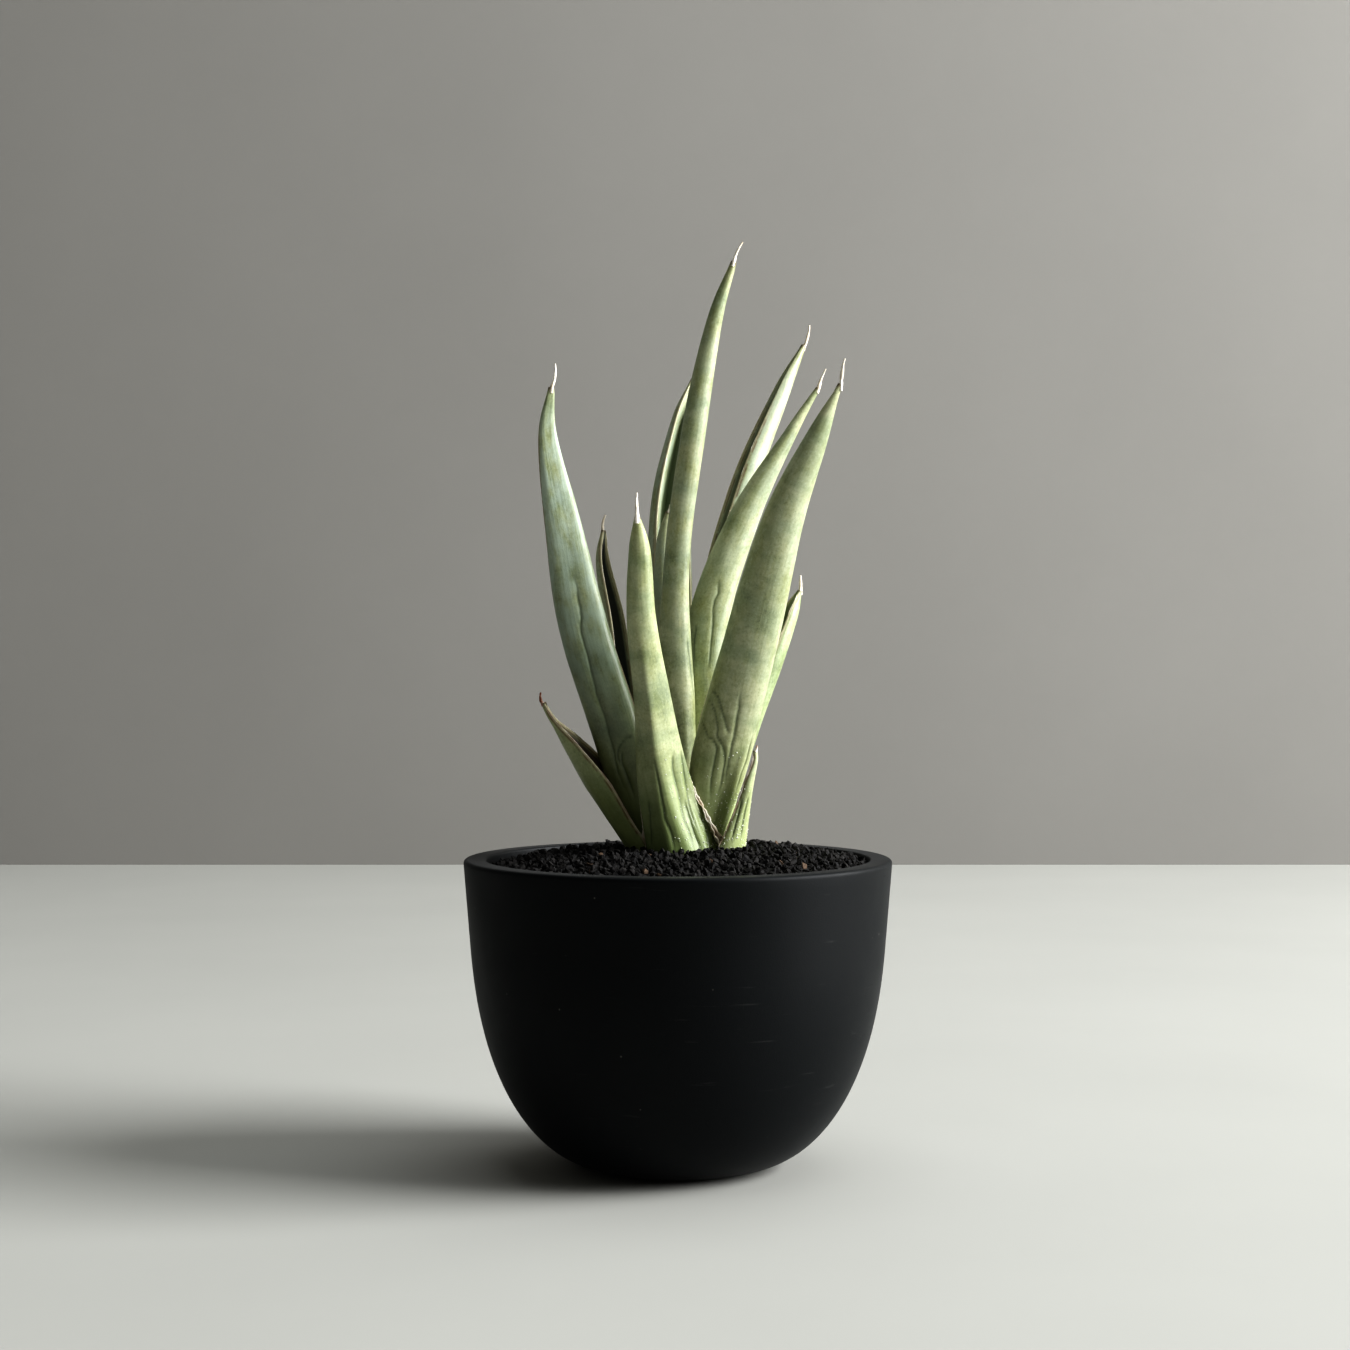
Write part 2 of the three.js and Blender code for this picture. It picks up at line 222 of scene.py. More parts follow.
# pale dust that settles in patches and single specks

dustSpec = {
    "dotRim": (0.16, 0.08), "chosen": (0.72, 0.8),
    "patchScale": 45.0, "patchDetail": 3.0, "patchRim": (0.45, 0.7),
}


def makeDustGroup(spec):
    tree, source, sink = newGroup("settledDust", {"Scale": "Float", "Amount": "Float"}, {"Mask": "Float"})
    place = objectPlace(tree)
    cells = addNode(
        tree, "ShaderNodeTexVoronoi", {"Vector": place, "Scale": source["Scale"]}, voronoi_dimensions="4D",
    )
    dots = stretch(tree, cells.outputs["Distance"], *spec["dotRim"])
    draw = addNode(tree, "ShaderNodeSeparateColor", {"Color": cells.outputs["Color"]}).outputs[0]
    chosen = stretch(tree, draw, *spec["chosen"])
    patches = addNode(
        tree, "ShaderNodeTexNoise",
        {"Vector": place, "Scale": spec["patchScale"], "Detail": spec["patchDetail"]},
        noise_dimensions="4D",
    ).outputs["Fac"]
    near = stretch(tree, patches, *spec["patchRim"])
    tree.links.new(product(tree, dots, chosen, near, source["Amount"]), sink["Mask"])
    return tree


dustGroup = makeDustGroup(dustSpec)


# camera and light, in metres

cameraSpec = {
    "place": (-0.0008, -0.683, 0.1468), "pitchDown": 0.8, "lens": 65.0, "sensor": 36.0, "nearest": 0.01,
}

cameraData = bpy.data.cameras.new("studioCamera")
cameraData.lens = cameraSpec["lens"]
cameraData.sensor_width = cameraSpec["sensor"]
cameraData.clip_start = cameraSpec["nearest"]
camera = linkObject("studioCamera", cameraData)
camera.location = cameraSpec["place"]
camera.rotation_euler = (math.radians(90 - cameraSpec["pitchDown"]), 0, 0)
bpy.context.scene.camera = camera

# a window low on the right, a soft sky above and a little light from all round
lightSpec = {
    "window": {"place": (2.2, -0.3, 1.06), "target": (0, 0, 0.12), "size": (1.5, 1.5), "power": 118.0,
               "color": (0.98, 0.99, 1.0)},
    "sky": {"place": (0.3, 0.1, 1.8), "target": (0, 0, 0.1), "size": (1.6, 1.6), "power": 11.0,
            "color": (0.95, 0.98, 1.0)},
}
worldSpec = {"Color": (0.8, 0.8, 0.74, 1), "Strength": 0.125}


def addLight(name, spec):
    data = bpy.data.lights.new(name, "AREA")
    data.shape = "RECTANGLE"
    data.size, data.size_y = spec["size"]
    data.energy = spec["power"]
    data.color = spec["color"]
    lamp = linkObject(name, data)
    lamp.location = spec["place"]
    reach = Vector(spec["target"]) - Vector(spec["place"])
    lamp.rotation_euler = reach.to_track_quat("-Z", "Y").to_euler()


for lightName, spec in lightSpec.items():
    addLight(lightName, spec)

world = bpy.context.scene.world or bpy.data.worlds.new("studio")
bpy.context.scene.world = world
world.use_nodes = True
for label, value in worldSpec.items():
    world.node_tree.nodes["Background"].inputs[label].default_value = value
bpy.context.scene.view_settings.view_transform = "Standard"
bpy.context.scene.view_settings.look = "High Contrast"


# floor and backdrop, plain and in metres

roomSpec = {
    "wallAt": 0.914, "half": 2.2, "front": -1.4, "wallHeight": 1.6,
    "floorTone": tone(178, 178, 173), "wallTone": tone(139, 137, 133), "roughness": 0.85,
    "cloudScale": 6.0, "cloudDetail": 6.0, "cloudShade": 0.9,
}


def makeRoom(spec):
    half, front, back, top = spec["half"], spec["front"], spec["wallAt"], spec["wallHeight"]
    sheets = {
        "studioFloor": (spec["floorTone"], ((front, 0), (back, 0))),
        "studioWall": (spec["wallTone"], ((back, 0), (back, top))),
    }
    for name, (color, (near, far)) in sheets.items():
        corners = [(-half, *near), (half, *near), (half, *far), (-half, *far)]
        mesh = bpy.data.meshes.new(name)
        mesh.from_pydata(corners, [], [(0, 1, 2, 3)])
        sheet = linkObject(name, mesh)
        material, tree, shader = newMaterial(name, Roughness=spec["roughness"])
        cloud = clouds(tree, objectPlace(tree), spec["cloudScale"], spec["cloudDetail"])
        darker = tuple(spec["cloudShade"] * value for value in color[:3]) + (1.0,)
        tree.links.new(blendColor(tree, cloud, color, darker), shader.inputs["Base Color"])
        mesh.materials.append(material)


makeRoom(roomSpec)
print("camera, light and room made")


# pot

potSpec = {
    "height": 86, "rimRadius": 60, "bowlHeight": 62, "fullness": 2.3, "flare": 7, "footRadius": 18,
    "wall": 6.3, "floor": 6, "floorRadius": 14, "drainRadius": 5,
    "outerRound": 1.4, "innerRound": 0.7, "drainRound": 0.6, "roundSteps": 6,
    "around": 192, "steps": 44, "flareSteps": 6, "hub": 1,
}
potLook = {
    "tones": (tone(2, 6, 9), tone(4, 8, 11)), "broad": (28.0, 4.0), "fine": (2600.0, 2.0),
    "smearStretch": (60, 60, 900), "smearDetail": 5.0, "scuff": (0.66, 0.74), "scuffTone": tone(95, 95, 92),
    "scuffShare": 0.12, "scuffRough": 0.15, "dust": {"Scale": 420.0, "Amount": 0.45},
    "dustTone": tone(150, 146, 138), "broadRange": (0.3, 0.7), "rough": (0.5, 0.6), "bump": (0.12, 0.0002),
}


def bowlLine(foot, rim, low, spec):
    # a full round bowl with a straight flare added all the way up, ending at the rim
    points = []
    for step in range(spec["steps"] + 1):
        share = 1 - math.cos(step / spec["steps"] * math.pi / 2)
        fullRound = (1 - (1 - share) ** spec["fullness"]) ** (1 / spec["fullness"])
        height = low + (spec["bowlHeight"] - low) * share
        radius = foot + (rim - spec["flare"] - foot) * fullRound + spec["flare"] * height / spec["height"]
        points.append((radius, height))
    start = points[-1]
    for step in range(1, spec["flareSteps"] + 1):
        share = step / spec["flareSteps"]
        points.append((start[0] + (rim - start[0]) * share, start[1] + (spec["height"] - start[1]) * share))
    return points


def roundCorner(before, corner, after, reach):
    corner = Vector(corner)
    start = corner + (Vector(before) - corner).normalized() * reach
    end = corner + (Vector(after) - corner).normalized() * reach
    curve = []
    for step in range(potSpec["roundSteps"] + 1):
        share = step / potSpec["roundSteps"]
        curve.append(tuple(start.lerp(corner, share).lerp(corner.lerp(end, share), share)))
    return curve


def potProfile(spec):
    # up the outside, over the rim, down the inside and through the drain hole
    rim, wall, drain = spec["rimRadius"], spec["wall"], spec["drainRadius"]
    outside = bowlLine(spec["footRadius"], rim, 0, spec)
    inside = bowlLine(spec["floorRadius"], rim - wall, spec["floor"], spec)
    outerRim, innerRim = outside.pop(), inside.pop()
    points = roundCorner((drain, spec["floor"]), (drain, 0), outside[0], spec["drainRound"])
    points += outside
    points += roundCorner(outside[-1], outerRim, innerRim, spec["outerRound"])
    points += roundCorner(outerRim, innerRim, inside[-1], spec["innerRound"])
    points += inside[::-1]
    points += roundCorner(inside[0], (drain, spec["floor"]), (drain, 0), spec["drainRound"])
    return points


def makeTurningTree():
    # a closed profile turned once round Z; it is read with X outwards and Y down
    tree, source, sink = newGroup(
        "turnedBowl",
        {"Profile": "Geometry", "Segments": "Int", "Hub Radius": "Float", "Surface": "Material"},
        {"Bowl": "Geometry"}, "GeometryNodeTree",
    )
    line = addNode(tree, "GeometryNodeMeshToCurve", {"Mesh": source["Profile"]}).outputs[0]
    circle = addNode(
        tree, "GeometryNodeCurvePrimitiveCircle",
        {"Resolution": source["Segments"], "Radius": source["Hub Radius"]}, mode="RADIUS",
    ).outputs["Curve"]
    bowl = addNode(tree, "GeometryNodeCurveToMesh", {"Curve": circle, "Profile Curve": line}).outputs[0]
    closeTree(tree, bowl, source["Surface"], sink["Bowl"])
    return tree


def makePotMaterial(look):
    material, tree, shader = newMaterial(
        "mattBlackPot", Specular_IOR_Level=0.22, Sheen_Weight=0.03, Sheen_Roughness=0.4,
    )
    place = objectPlace(tree)
    broad = clouds(tree, place, *look["broad"])
    fine = clouds(tree, place, *look["fine"])
    drawn = addNode(tree, "ShaderNodeMapping", {"Vector": place, "Scale": look["smearStretch"]}).outputs[0]
    scuff = stretch(tree, clouds(tree, drawn, 1.0, look["smearDetail"]), *look["scuff"])
    dust = addNode(tree, "ShaderNodeGroup", look["dust"], node_tree=dustGroup)
    color = blendColor(tree, broad, *look["tones"])
    color = blendColor(tree, calc(tree, "MULTIPLY", scuff, look["scuffShare"]), color, look["scuffTone"])
    color = blendColor(tree, dust.outputs["Mask"], color, look["dustTone"])
    tree.links.new(color, shader.inputs["Base Color"])
    rough = stretch(tree, broad, *look["broadRange"], *look["rough"])
    rough = calc(tree, "ADD", rough, calc(tree, "MULTIPLY", scuff, look["scuffRough"]))
    tree.links.new(rough, shader.inputs["Roughness"])
    addRelief(tree, shader, fine, *look["bump"])
    return material


def makePot(spec):
    hub = spec["hub"] * mm
    points = [(radius * mm - hub, -height * mm, 0) for radius, height in potProfile(spec)]
    mesh = bpy.data.meshes.new("potProfile")
    count = len(points)
    mesh.from_pydata(points, [(i, (i + 1) % count) for i in range(count)], [])
    carrier = linkObject("potProfile", mesh)
    values = {"Segments": spec["around"], "Hub Radius": hub, "Surface": makePotMaterial(potLook)}
    pot = grownPiece(carrier, makeTurningTree(), values, "bowl_pot")
    faceOutward(pot.data)
    return pot


pot = makePot(potSpec)
finishPiece(pot, "pot", "pot")
print("pot made:", len(pot.data.polygons), "faces")


# leaves

leafRule = {
    "ringStep": 0.6, "ringsLeast": 40, "ringCrowd": 0.96, "arcSteps": 76, "lipSteps": 4, "channelSteps": 30,
    "edge": 0.6, "lipBulge": 0.4, "tipHalf": 0.8, "middle": 0.45, "roundFrom": 0.8, "roundChannel": -0.8,
    "troughPower": 1.7, "keelBlunt": 0.2, "keelFade": 0.2, "keelStart": 0.25, "ribFade": 1.6, "ribPower": 1.5,
    "foot": 84.2, "gritLevel": 86,
}
# creases are narrow lines in a broader dip, and wander a little
creaseRule = {
    "steps": 8, "wander": 0.008, "wanderScale": 90, "seedStep": 7.3, "pathStep": 3.1, "endFade": 6,
    "endLeast": 0.15, "line": 0.3, "lineDepth": 0.1, "dip": 0.95, "dipDepth": 0.16,
}
# slow swells keep a flank from being a perfect curve; they calm down at the tip, at the edges and
# where the leaf is narrow
swellRule = {
    "height": 0.16, "broad": (2.2, 0.055), "fine": (6, 0.14), "fineShare": 0.5, "finePlane": 3,
    "seedStep": 11.7, "tipCalm": 6, "fullWidth": 5, "leastWidth": 0.2, "edgeCalm": 14,
}

# Each leaf: its middle line from root to tip, half widths, the compass angles of its back at the
# root, the middle and the tip, then at root and tip the depth of its back, the depth of its channel
# and the roll of its edges, and the reach of its awn. A third number of a channel is the power of
# its curve. Some have a keel (where across, how sharp, up to which share) or a flatter crown.
# Then the looks: how much bloom, banding, dry edge and painted low shade, a tint, how far up the edge is
# dry, how dark the painted channel shade is and from which distance to the edge. Creases are (share of the
# length, share across the back) points, and ribs are grooves (from, to, across, half width, depth).
leafSpecs = {
    "leaf_young_spear": {
        "spine": [(-0.5, 3.5, 84), (-1.5, 4.5, 109), (-2, 6, 134), (-3, 7, 155.5), (-3.5, 7.5, 173.5),
                  (-2.5, 8, 183.5)],
        "half": (2.6, 2.9, 3.2, 3.2, 2.4), "back": (-70, -70, -70), "depth": (0.9, 0.95),
        "channel": (0.3, 0.3), "roll": (30, 30), "awn": (0.3, 0, 2), "bloom": 0.7, "bands": 0.3,
        "dryEdge": 0.2, "seed": 1,
    },
    "leaf_tallest": {
        "spine": [(3.5, -1, 84), (0.5, -3, 126), (0, -5.5, 167.5), (4.5, -7.5, 204.5), (10, -8.5, 234.5),
                  (15.5, -9, 251.5)],
        "half": (5.5, 5.8, 3.6, 3.4, 2.2), "back": (-36, -80, -80), "depth": (0.8, 0.95),
        "channel": (0.4, 0.3), "roll": (10, 30), "awn": (2.4, 0, 5.3), "bloom": 0.35,
        "tint": (1.0, 0.99, 0.94), "bands": 1.0, "dryEdge": 0.3, "seed": 2, "edgeUpTo": 0.0,
        "creases": [[(0.30, 0.66), (0.283, 0.67), (0.246, 0.71), (0.213, 0.78)]],
    },
    "leaf_middle_back": {
        "spine": [(-0.5, 8.5, 84), (-1.8, 9.5, 118.5), (-3.1, 13.5, 153), (-2.8, 18, 183.5),
                  (1.2, 22, 208.5), (4.5, 24, 222.5)],
        "half": (4.8, 5.4, 6.5, 6, 4), "back": (112, 109, 106), "depth": (0.85, 0.9),
        "channel": (0.85, 0.8, 1.3), "roll": (35, 30), "awn": (1.5, 0, 3.5), "bloom": 0.8, "bands": 0.5,
        "dryEdge": 0.6, "seed": 3, "edgeUpTo": 0.95, "inside": 0.9, "paintedChannelShadeFrom": (4.6, 7.2),
        "paintedChannelShadeTone": tone(96, 110, 76),
    },
    "leaf_right_middle": {
        "spine": [(8.5, 3, 84), (7, 3, 117.5), (8, 4.5, 151), (18.5, 6.5, 180.5), (32, 9, 205),
                  (40, 10, 218.5)],
        "half": (4.6, 4.8, 5.8, 4.4, 2), "back": (-114, -95, -22), "depth": (0.6, 0.9),
        "channel": (0.5, 0.4), "roll": (0, 15), "awn": (2, 0, 5.5), "bloom": 0.35,
        "tint": (1.0, 1.0, 0.98), "bands": 0.6, "dryEdge": 0.3, "seed": 4, "edgeUpTo": 0.5,
        "creases": [
            [(0.486, 0.49), (0.461, 0.56), (0.441, 0.55), (0.406, 0.61), (0.381, 0.63), (0.346, 0.64),
             (0.321, 0.61)],
            [(0.396, 0.37), (0.371, 0.37), (0.33, 0.39)],
        ],
    },
    "leaf_right_front": {
        "spine": [(6.5, -4, 84), (12.5, -8, 117), (20.5, -13, 150), (28.5, -18, 179),
                  (38.5, -22.5, 202.5), (44, -25, 216)],
        "half": (4.2, 8.1, 7.4, 5.7, 3.1), "back": (-58, -99, -6), "depth": (0.6, 0.9),
        "channel": (0.5, 0.4), "roll": (0, 15), "awn": (1, 0, 7), "bloom": 0.25, "bands": 0.8,
        "dryEdge": 0.3, "seed": 5, "edgeUpTo": 0.45,
        "creases": [
            [(0.288, 0.10), (0.283, 0.29), (0.268, 0.38), (0.238, 0.49), (0.228, 0.54)],
            [(0.273, 0.12), (0.263, 0.28), (0.241, 0.38), (0.218, 0.42), (0.203, 0.50), (0.183, 0.54),
             (0.15, 0.54), (0.118, 0.51)],
            [(0.298, 0.56), (0.271, 0.57), (0.243, 0.58), (0.223, 0.58), (0.198, 0.58), (0.168, 0.58),
             (0.13, 0.59)],
            [(0.22, 0.22), (0.213, 0.36), (0.201, 0.43), (0.173, 0.43), (0.145, 0.42), (0.115, 0.44)],
            [(0.237, 0.10), (0.226, 0.23), (0.213, 0.31)],
            [(0.233, 0.84), (0.19, 0.84), (0.163, 0.81), (0.128, 0.80)],
        ],
        "ribs": [(0.0, 0.32, 0.68, 0.10, 0.35), (0.0, 0.28, 0.82, 0.07, 0.35)],
    },
    "leaf_right_back": {
        "spine": [(9.5, 8, 84), (9, 11, 121), (11.5, 16.5, 158.5), (20, 22.5, 191), (30.5, 27.5, 218),
                  (37, 30, 233)],
        "half": (4.5, 5.4, 5.5, 5, 3.2), "back": (16, 16, 16), "depth": (0.9, 1),
        "channel": (0.8, 0.8, 1.2), "roll": (15, 25), "awn": (1.5, 0, 6), "bloom": 0.55, "bands": 0.3,
        "dryEdge": 1.0, "seed": 6, "edgeUpTo": 0.75, "inside": 0.8,
    },
    "leaf_tall_left": {
        "spine": [(-7.5, -2, 84), (-16, -4.5, 117), (-26, -8, 150), (-31.5, -12, 179),
                  (-35.5, -15, 202.5), (-34.5, -17, 216)],
        "half": (5.5, 7, 6.8, 5, 2.6), "back": (-128, -84, -74), "depth": (0.5, 0.68),
        "channel": (0.5, 0.4), "crown": 3.4, "roll": (0, 10), "awn": (1, 0, 6.5), "bloom": 1.0,
        # its lower half gets painted shade, as if shaded by the leaves in front of it
        "tint": (0.93, 0.97, 0.97), "paintedLowShade": 0.7, "bands": 0.7, "dryEdge": 1.0, "seed": 7,
        "edgeUpTo": 0.82,
        "creases": [
            [(0.499, 0.49), (0.479, 0.52), (0.461, 0.51), (0.444, 0.51), (0.421, 0.50), (0.406, 0.46),
             (0.383, 0.46), (0.353, 0.46), (0.313, 0.44), (0.288, 0.43), (0.251, 0.44), (0.221, 0.43),
             (0.198, 0.43), (0.17, 0.41), (0.14, 0.44), (0.115, 0.49)],
            [(0.213, 0.75), (0.213, 0.62), (0.203, 0.52), (0.19, 0.46), (0.168, 0.48)],
            [(0.195, 0.54), (0.18, 0.50), (0.153, 0.52), (0.115, 0.56)],
        ],
    },
    "leaf_short_left": {
        "spine": [(-9.5, 5, 84), (-12.5, 6.5, 107.5), (-16.5, 9.5, 131.5), (-19, 13, 152),
                  (-22, 15.5, 169), (-21.5, 17, 178.5)],
        "half": (4, 4.6, 4.7, 4, 2.6), "back": (150, 150, 150), "depth": (0.8, 0.9),
        "channel": (0.85, 0.85, 1.2), "roll": (10, 15), "awn": (0.7, 0, 4.5), "bloom": 0.3, "bands": 0.4,
        "dryEdge": 0.8, "seed": 8, "inside": 1.0, "paintedChannelShadeTone": tone(26, 30, 18),
    },
    "leaf_low_right": {
        "spine": [(11, 3, 84), (15.5, 4, 103), (21.5, 6, 122.5), (27, 9, 139.5), (32, 11.5, 153),
                  (35, 13, 161)],
        "half": (3, 2.6, 3, 4.4, 3.4), "back": (24, 24, 24), "depth": (0.9, 1),
        "channel": (0.8, 0.75, 1.2), "roll": (10, 15), "awn": (0, 0, 4.5), "bloom": 0.1, "bands": 0.4,
        "dryEdge": 0.4, "seed": 9, "tint": (0.8, 0.9, 0.74), "inside": 0.75,
        "ribs": [(0.0, 0.6, 0.80, 0.06, 0.35), (0.0, 0.5, 0.68, 0.05, 0.3)],
    },
    "leaf_front": {
        "spine": [(3, -9, 84), (-3.5, -13.5, 108), (-7, -19, 132), (-10, -24, 153), (-10.5, -27, 170.5),
                  (-11, -29, 180)],
        "half": (10.4, 7.4, 5, 4, 3), "back": (-78, -90, -104), "depth": (0.65, 0.95),
        "channel": (0.5, 0.3), "keel": (0.22, 0.8, 0.6), "roll": (0, 25), "awn": (0, 0, 6.5),
        # its darker, greener root tone is partly painted shade at the foot of the leaf
        "bloom": 0.2, "tint": (0.99, 1.0, 0.89), "paintedShadeRootTone": tone(130, 150, 92), "bands": 0.9,
        "dryEdge": 0.2, "seed": 10, "edgeUpTo": 0.36,
        "creases": [
            [(0.263, 0.40), (0.213, 0.41), (0.155, 0.40), (0.123, 0.39), (0.088, 0.41), (0.04, 0.39)],
            [(0.268, 0.69), (0.233, 0.62), (0.168, 0.61), (0.113, 0.58), (0.075, 0.59), (0.03, 0.57)],
            [(0.263, 0.84), (0.223, 0.79), (0.17, 0.74), (0.125, 0.69), (0.06, 0.68)],
            [(0.17, 0.26), (0.12, 0.22), (0.06, 0.15)],
            [(0.15, 0.66), (0.11, 0.65), (0.07, 0.64), (0.03, 0.65)],
            [(0.11, 0.80), (0.078, 0.82), (0.055, 0.80), (0.03, 0.73)],
        ],
        "ribs": [(0.0, 0.33, 0.43, 0.05, 0.42), (0.0, 0.30, 0.625, 0.045, 0.4),
                 (0.0, 0.26, 0.77, 0.04, 0.3)],
    },
    "leaf_small_right": {
        "spine": [(14.5, -5, 84), (16.5, -6.5, 92), (18.5, -8, 100.5), (20, -9.5, 107.5),
                  (21.5, -10.5, 113.5), (21.5, -11, 116.5)],
        "half": (7.4, 4.9, 2.9, 1.9, 1), "back": (-30, -30, -30), "depth": (0.8, 0.9),
        "channel": (0.5, 0.5), "roll": (0, 10), "awn": (0.2, 0, 1.5), "bloom": 0.3,
        "tint": (1.25, 1.25, 1.28), "bands": 0.3, "dryEdge": 0.8, "seed": 11,
        "creases": [
            [(0.466, 0.12), (0.326, 0.16), (0.2, 0.19)],
            [(0.5, 0.36), (0.363, 0.35), (0.2, 0.39)],
        ],
    },
    "leaf_low_left": {
        "spine": [(-7.5, -2, 84), (-15, -3, 95.5), (-22, -4, 107), (-29, -5.5, 117), (-35, -6.5, 125),
                  (-37.5, -7, 129.5)],
        "half": (5.1, 5.2, 6, 3.8, 1.2), "back": (178, 175, 172), "depth": (1.1, 1.1),
        "channel": (0.8, 0.8, 1.2), "roll": (5, 10), "awn": (-0.6, 0, 3), "bloom": 0.1,
        "tint": (0.68, 0.72, 0.56), "bands": 0.3, "dryEdge": 1.0, "seed": 12, "inside": 0.95,
        "paintedChannelShadeTone": tone(66, 42, 32),
    },
}


def splineThrough(points, shares):
    # places and directions on one smooth line through evenly timed points
    known = np.array(points, float)
    spans = len(known) - 1
    known = np.vstack([2 * known[0] - known[1], known, 2 * known[-1] - known[-2]])
    time = np.clip(shares, 0, 1) * spans
    i = np.minimum(time.astype(int), spans - 1)
    t = (time - i)[:, None]
    first, second = known[i + 1], known[i + 2]
    leave, arrive = (second - known[i]) / 2, (known[i + 3] - first) / 2
    cube = 2 * first - 2 * second + leave + arrive
    square = 3 * second - 3 * first - 2 * leave - arrive
    place = cube * t ** 3 + square * t ** 2 + leave * t + first
    along = 3 * cube * t ** 2 + 2 * square * t + leave
    return place, along / np.linalg.norm(along, axis=1, keepdims=True)


def widthAt(half, shares):
    # a line through the half widths that never overshoots them
    values = np.array(list(half) + [leafRule["tipHalf"]])
    spans = len(values) - 1
    rise = np.diff(values)
    slope = np.zeros(spans + 1)
    slope[0], slope[-1] = rise[0], rise[-1]
    for i in range(1, spans):
        both = rise[i - 1] * rise[i]
        slope[i] = 2 * both / (rise[i - 1] + rise[i]) if both > 0 else 0
    i = np.minimum((shares * spans).astype(int), spans - 1)
    t = shares * spans - i
    return (
        (1 + 2 * t) * (1 - t) ** 2 * values[i] + t * (1 - t) ** 2 * slope[i]
        + t * t * (3 - 2 * t) * values[i + 1] + t * t * (t - 1) * slope[i + 1]
    )


def mixed(pair, shares):
    return pair[0] + (pair[1] - pair[0]) * shares


def leafFrame(spec, shares):
    # the middle line and the two directions of each section: towards the back and across
    place, along = splineThrough(spec["spine"], shares)
    root, middle, tip = spec["back"]
    bend = 2 * (root + tip) - 4 * middle
    angle = np.radians(root + (tip - root - bend) * shares + bend * shares ** 2)
    back = np.stack([np.cos(angle), np.sin(angle), 0 * angle], 1)
    back -= (back * along).sum(1, keepdims=True) * along
    back /= np.linalg.norm(back, axis=1, keepdims=True)
    return place, back, np.cross(back, along)


def backRise(spec, shares, angle):
    # how far each point of the back stands out: a half circle, a flatter crown or a ridge
    rise = np.sin(angle)
    if "crown" in spec:
        full = spec["crown"]
        flat = np.clip(1 - np.abs(np.cos(angle)) ** full, 0, 1) ** (1 / full)
        rise = np.where(rise > 0, flat, rise)
    if "keel" in spec:
        ridge, sharp, upTo = spec["keel"]
        blunt, fadeOver = leafRule["keelBlunt"], leafRule["keelFade"]
        across = np.cos(angle)
        reach = 1 + np.where(across > ridge, -ridge, ridge)
        slope = np.sqrt(((across - ridge) / reach) ** 2 + blunt ** 2)
        top = math.sqrt(1 + blunt ** 2)
        keel = np.clip((top - slope) / (top - blunt), 0, 1)
        fadeIn = np.clip(leafRule["keelStart"] + shares / fadeOver, 0, 1)
        amount = sharp * (np.clip((upTo - shares) / fadeOver, 0, 1) * fadeIn)[:, None]
        rise = np.where(rise > 0, rise * (1 - amount) + keel * amount, rise)
    return rise


def leafSections(spec, shares):
    # one closed gutter section for each share: [across, towards the back] and the way out from it
    rule = leafRule
    width = widthAt(spec["half"], shares)
    deep = width * mixed(spec["depth"], shares)
    roll = np.radians(mixed(spec["roll"], shares))
    fade = np.clip((shares - rule["roundFrom"]) / (1 - rule["roundFrom"]), 0, 1)
    channelPower = (*spec["channel"], rule["troughPower"])[2]
    hollow = mixed(spec["channel"], shares) * (1 - fade) + rule["roundChannel"] * fade
    turn = np.linspace(0, 1, rule["arcSteps"] + 1)
    angle = -roll[:, None] + (math.pi + 2 * roll[:, None]) * turn[None]
    arc = np.stack([width[:, None] * np.cos(angle), deep[:, None] * backRise(spec, shares, angle)], -1)
    arcOut = np.stack([deep[:, None] * np.cos(angle), width[:, None] * np.sin(angle)], -1)
    arcOut /= np.linalg.norm(arcOut, axis=-1, keepdims=True)
    edge = np.minimum(rule["edge"], width / 2)[:, None]
    lipIn = arc[:, 0] - arcOut[:, 0] * edge
    # the rounded lip bulges a little past the end of the arc
    beyond = np.stack([arcOut[:, 0, 1], -arcOut[:, 0, 0]], -1)
    centre = (arc[:, 0] + lipIn) / 2
    lips = []
    for step in range(1, rule["lipSteps"]):
        swing = math.pi * step / rule["lipSteps"]
        bulge = beyond * edge * rule["lipBulge"] * math.sin(swing)
        lips.append(centre + (arc[:, 0] - centre) * math.cos(swing) + bulge)
    lips = np.stack(lips, 1)
    mirror = np.array([-1, 1])
    bottom = (hollow * deep)[:, None]
    across = np.linspace(-1, 1, rule["channelSteps"] + 1)[None]
    channel = np.stack([
        across * lipIn[:, :1],
        lipIn[:, 1:] + (bottom - lipIn[:, 1:]) * (1 - np.abs(across) ** channelPower),
    ], -1)
    # round the back, over the far lip, through the channel and back over the near lip
    farLips = lips * mirror
    section = np.concatenate([arc, farLips, channel, lips[:, ::-1]], 1)
    section[..., 1] -= (rule["middle"] * deep)[:, None]
    inside = np.concatenate([
        np.zeros(arc.shape[1]), np.linspace(0, 1, farLips.shape[1] + 2)[1:-1],
        np.ones(channel.shape[1]), np.linspace(1, 0, lips.shape[1] + 2)[1:-1],
    ])
    acrossShare = np.concatenate([
        turn, np.ones(farLips.shape[1]), 1 - (across[0] + 1) / 2, np.zeros(lips.shape[1]),
    ])
    return section, arcOut, inside, acrossShare, width


def placedSections(spec, shares, section):
    place, back, acrossWay = leafFrame(spec, shares)
    return place[:, None] + section[..., :1] * acrossWay[:, None] + section[..., 1:] * back[:, None]


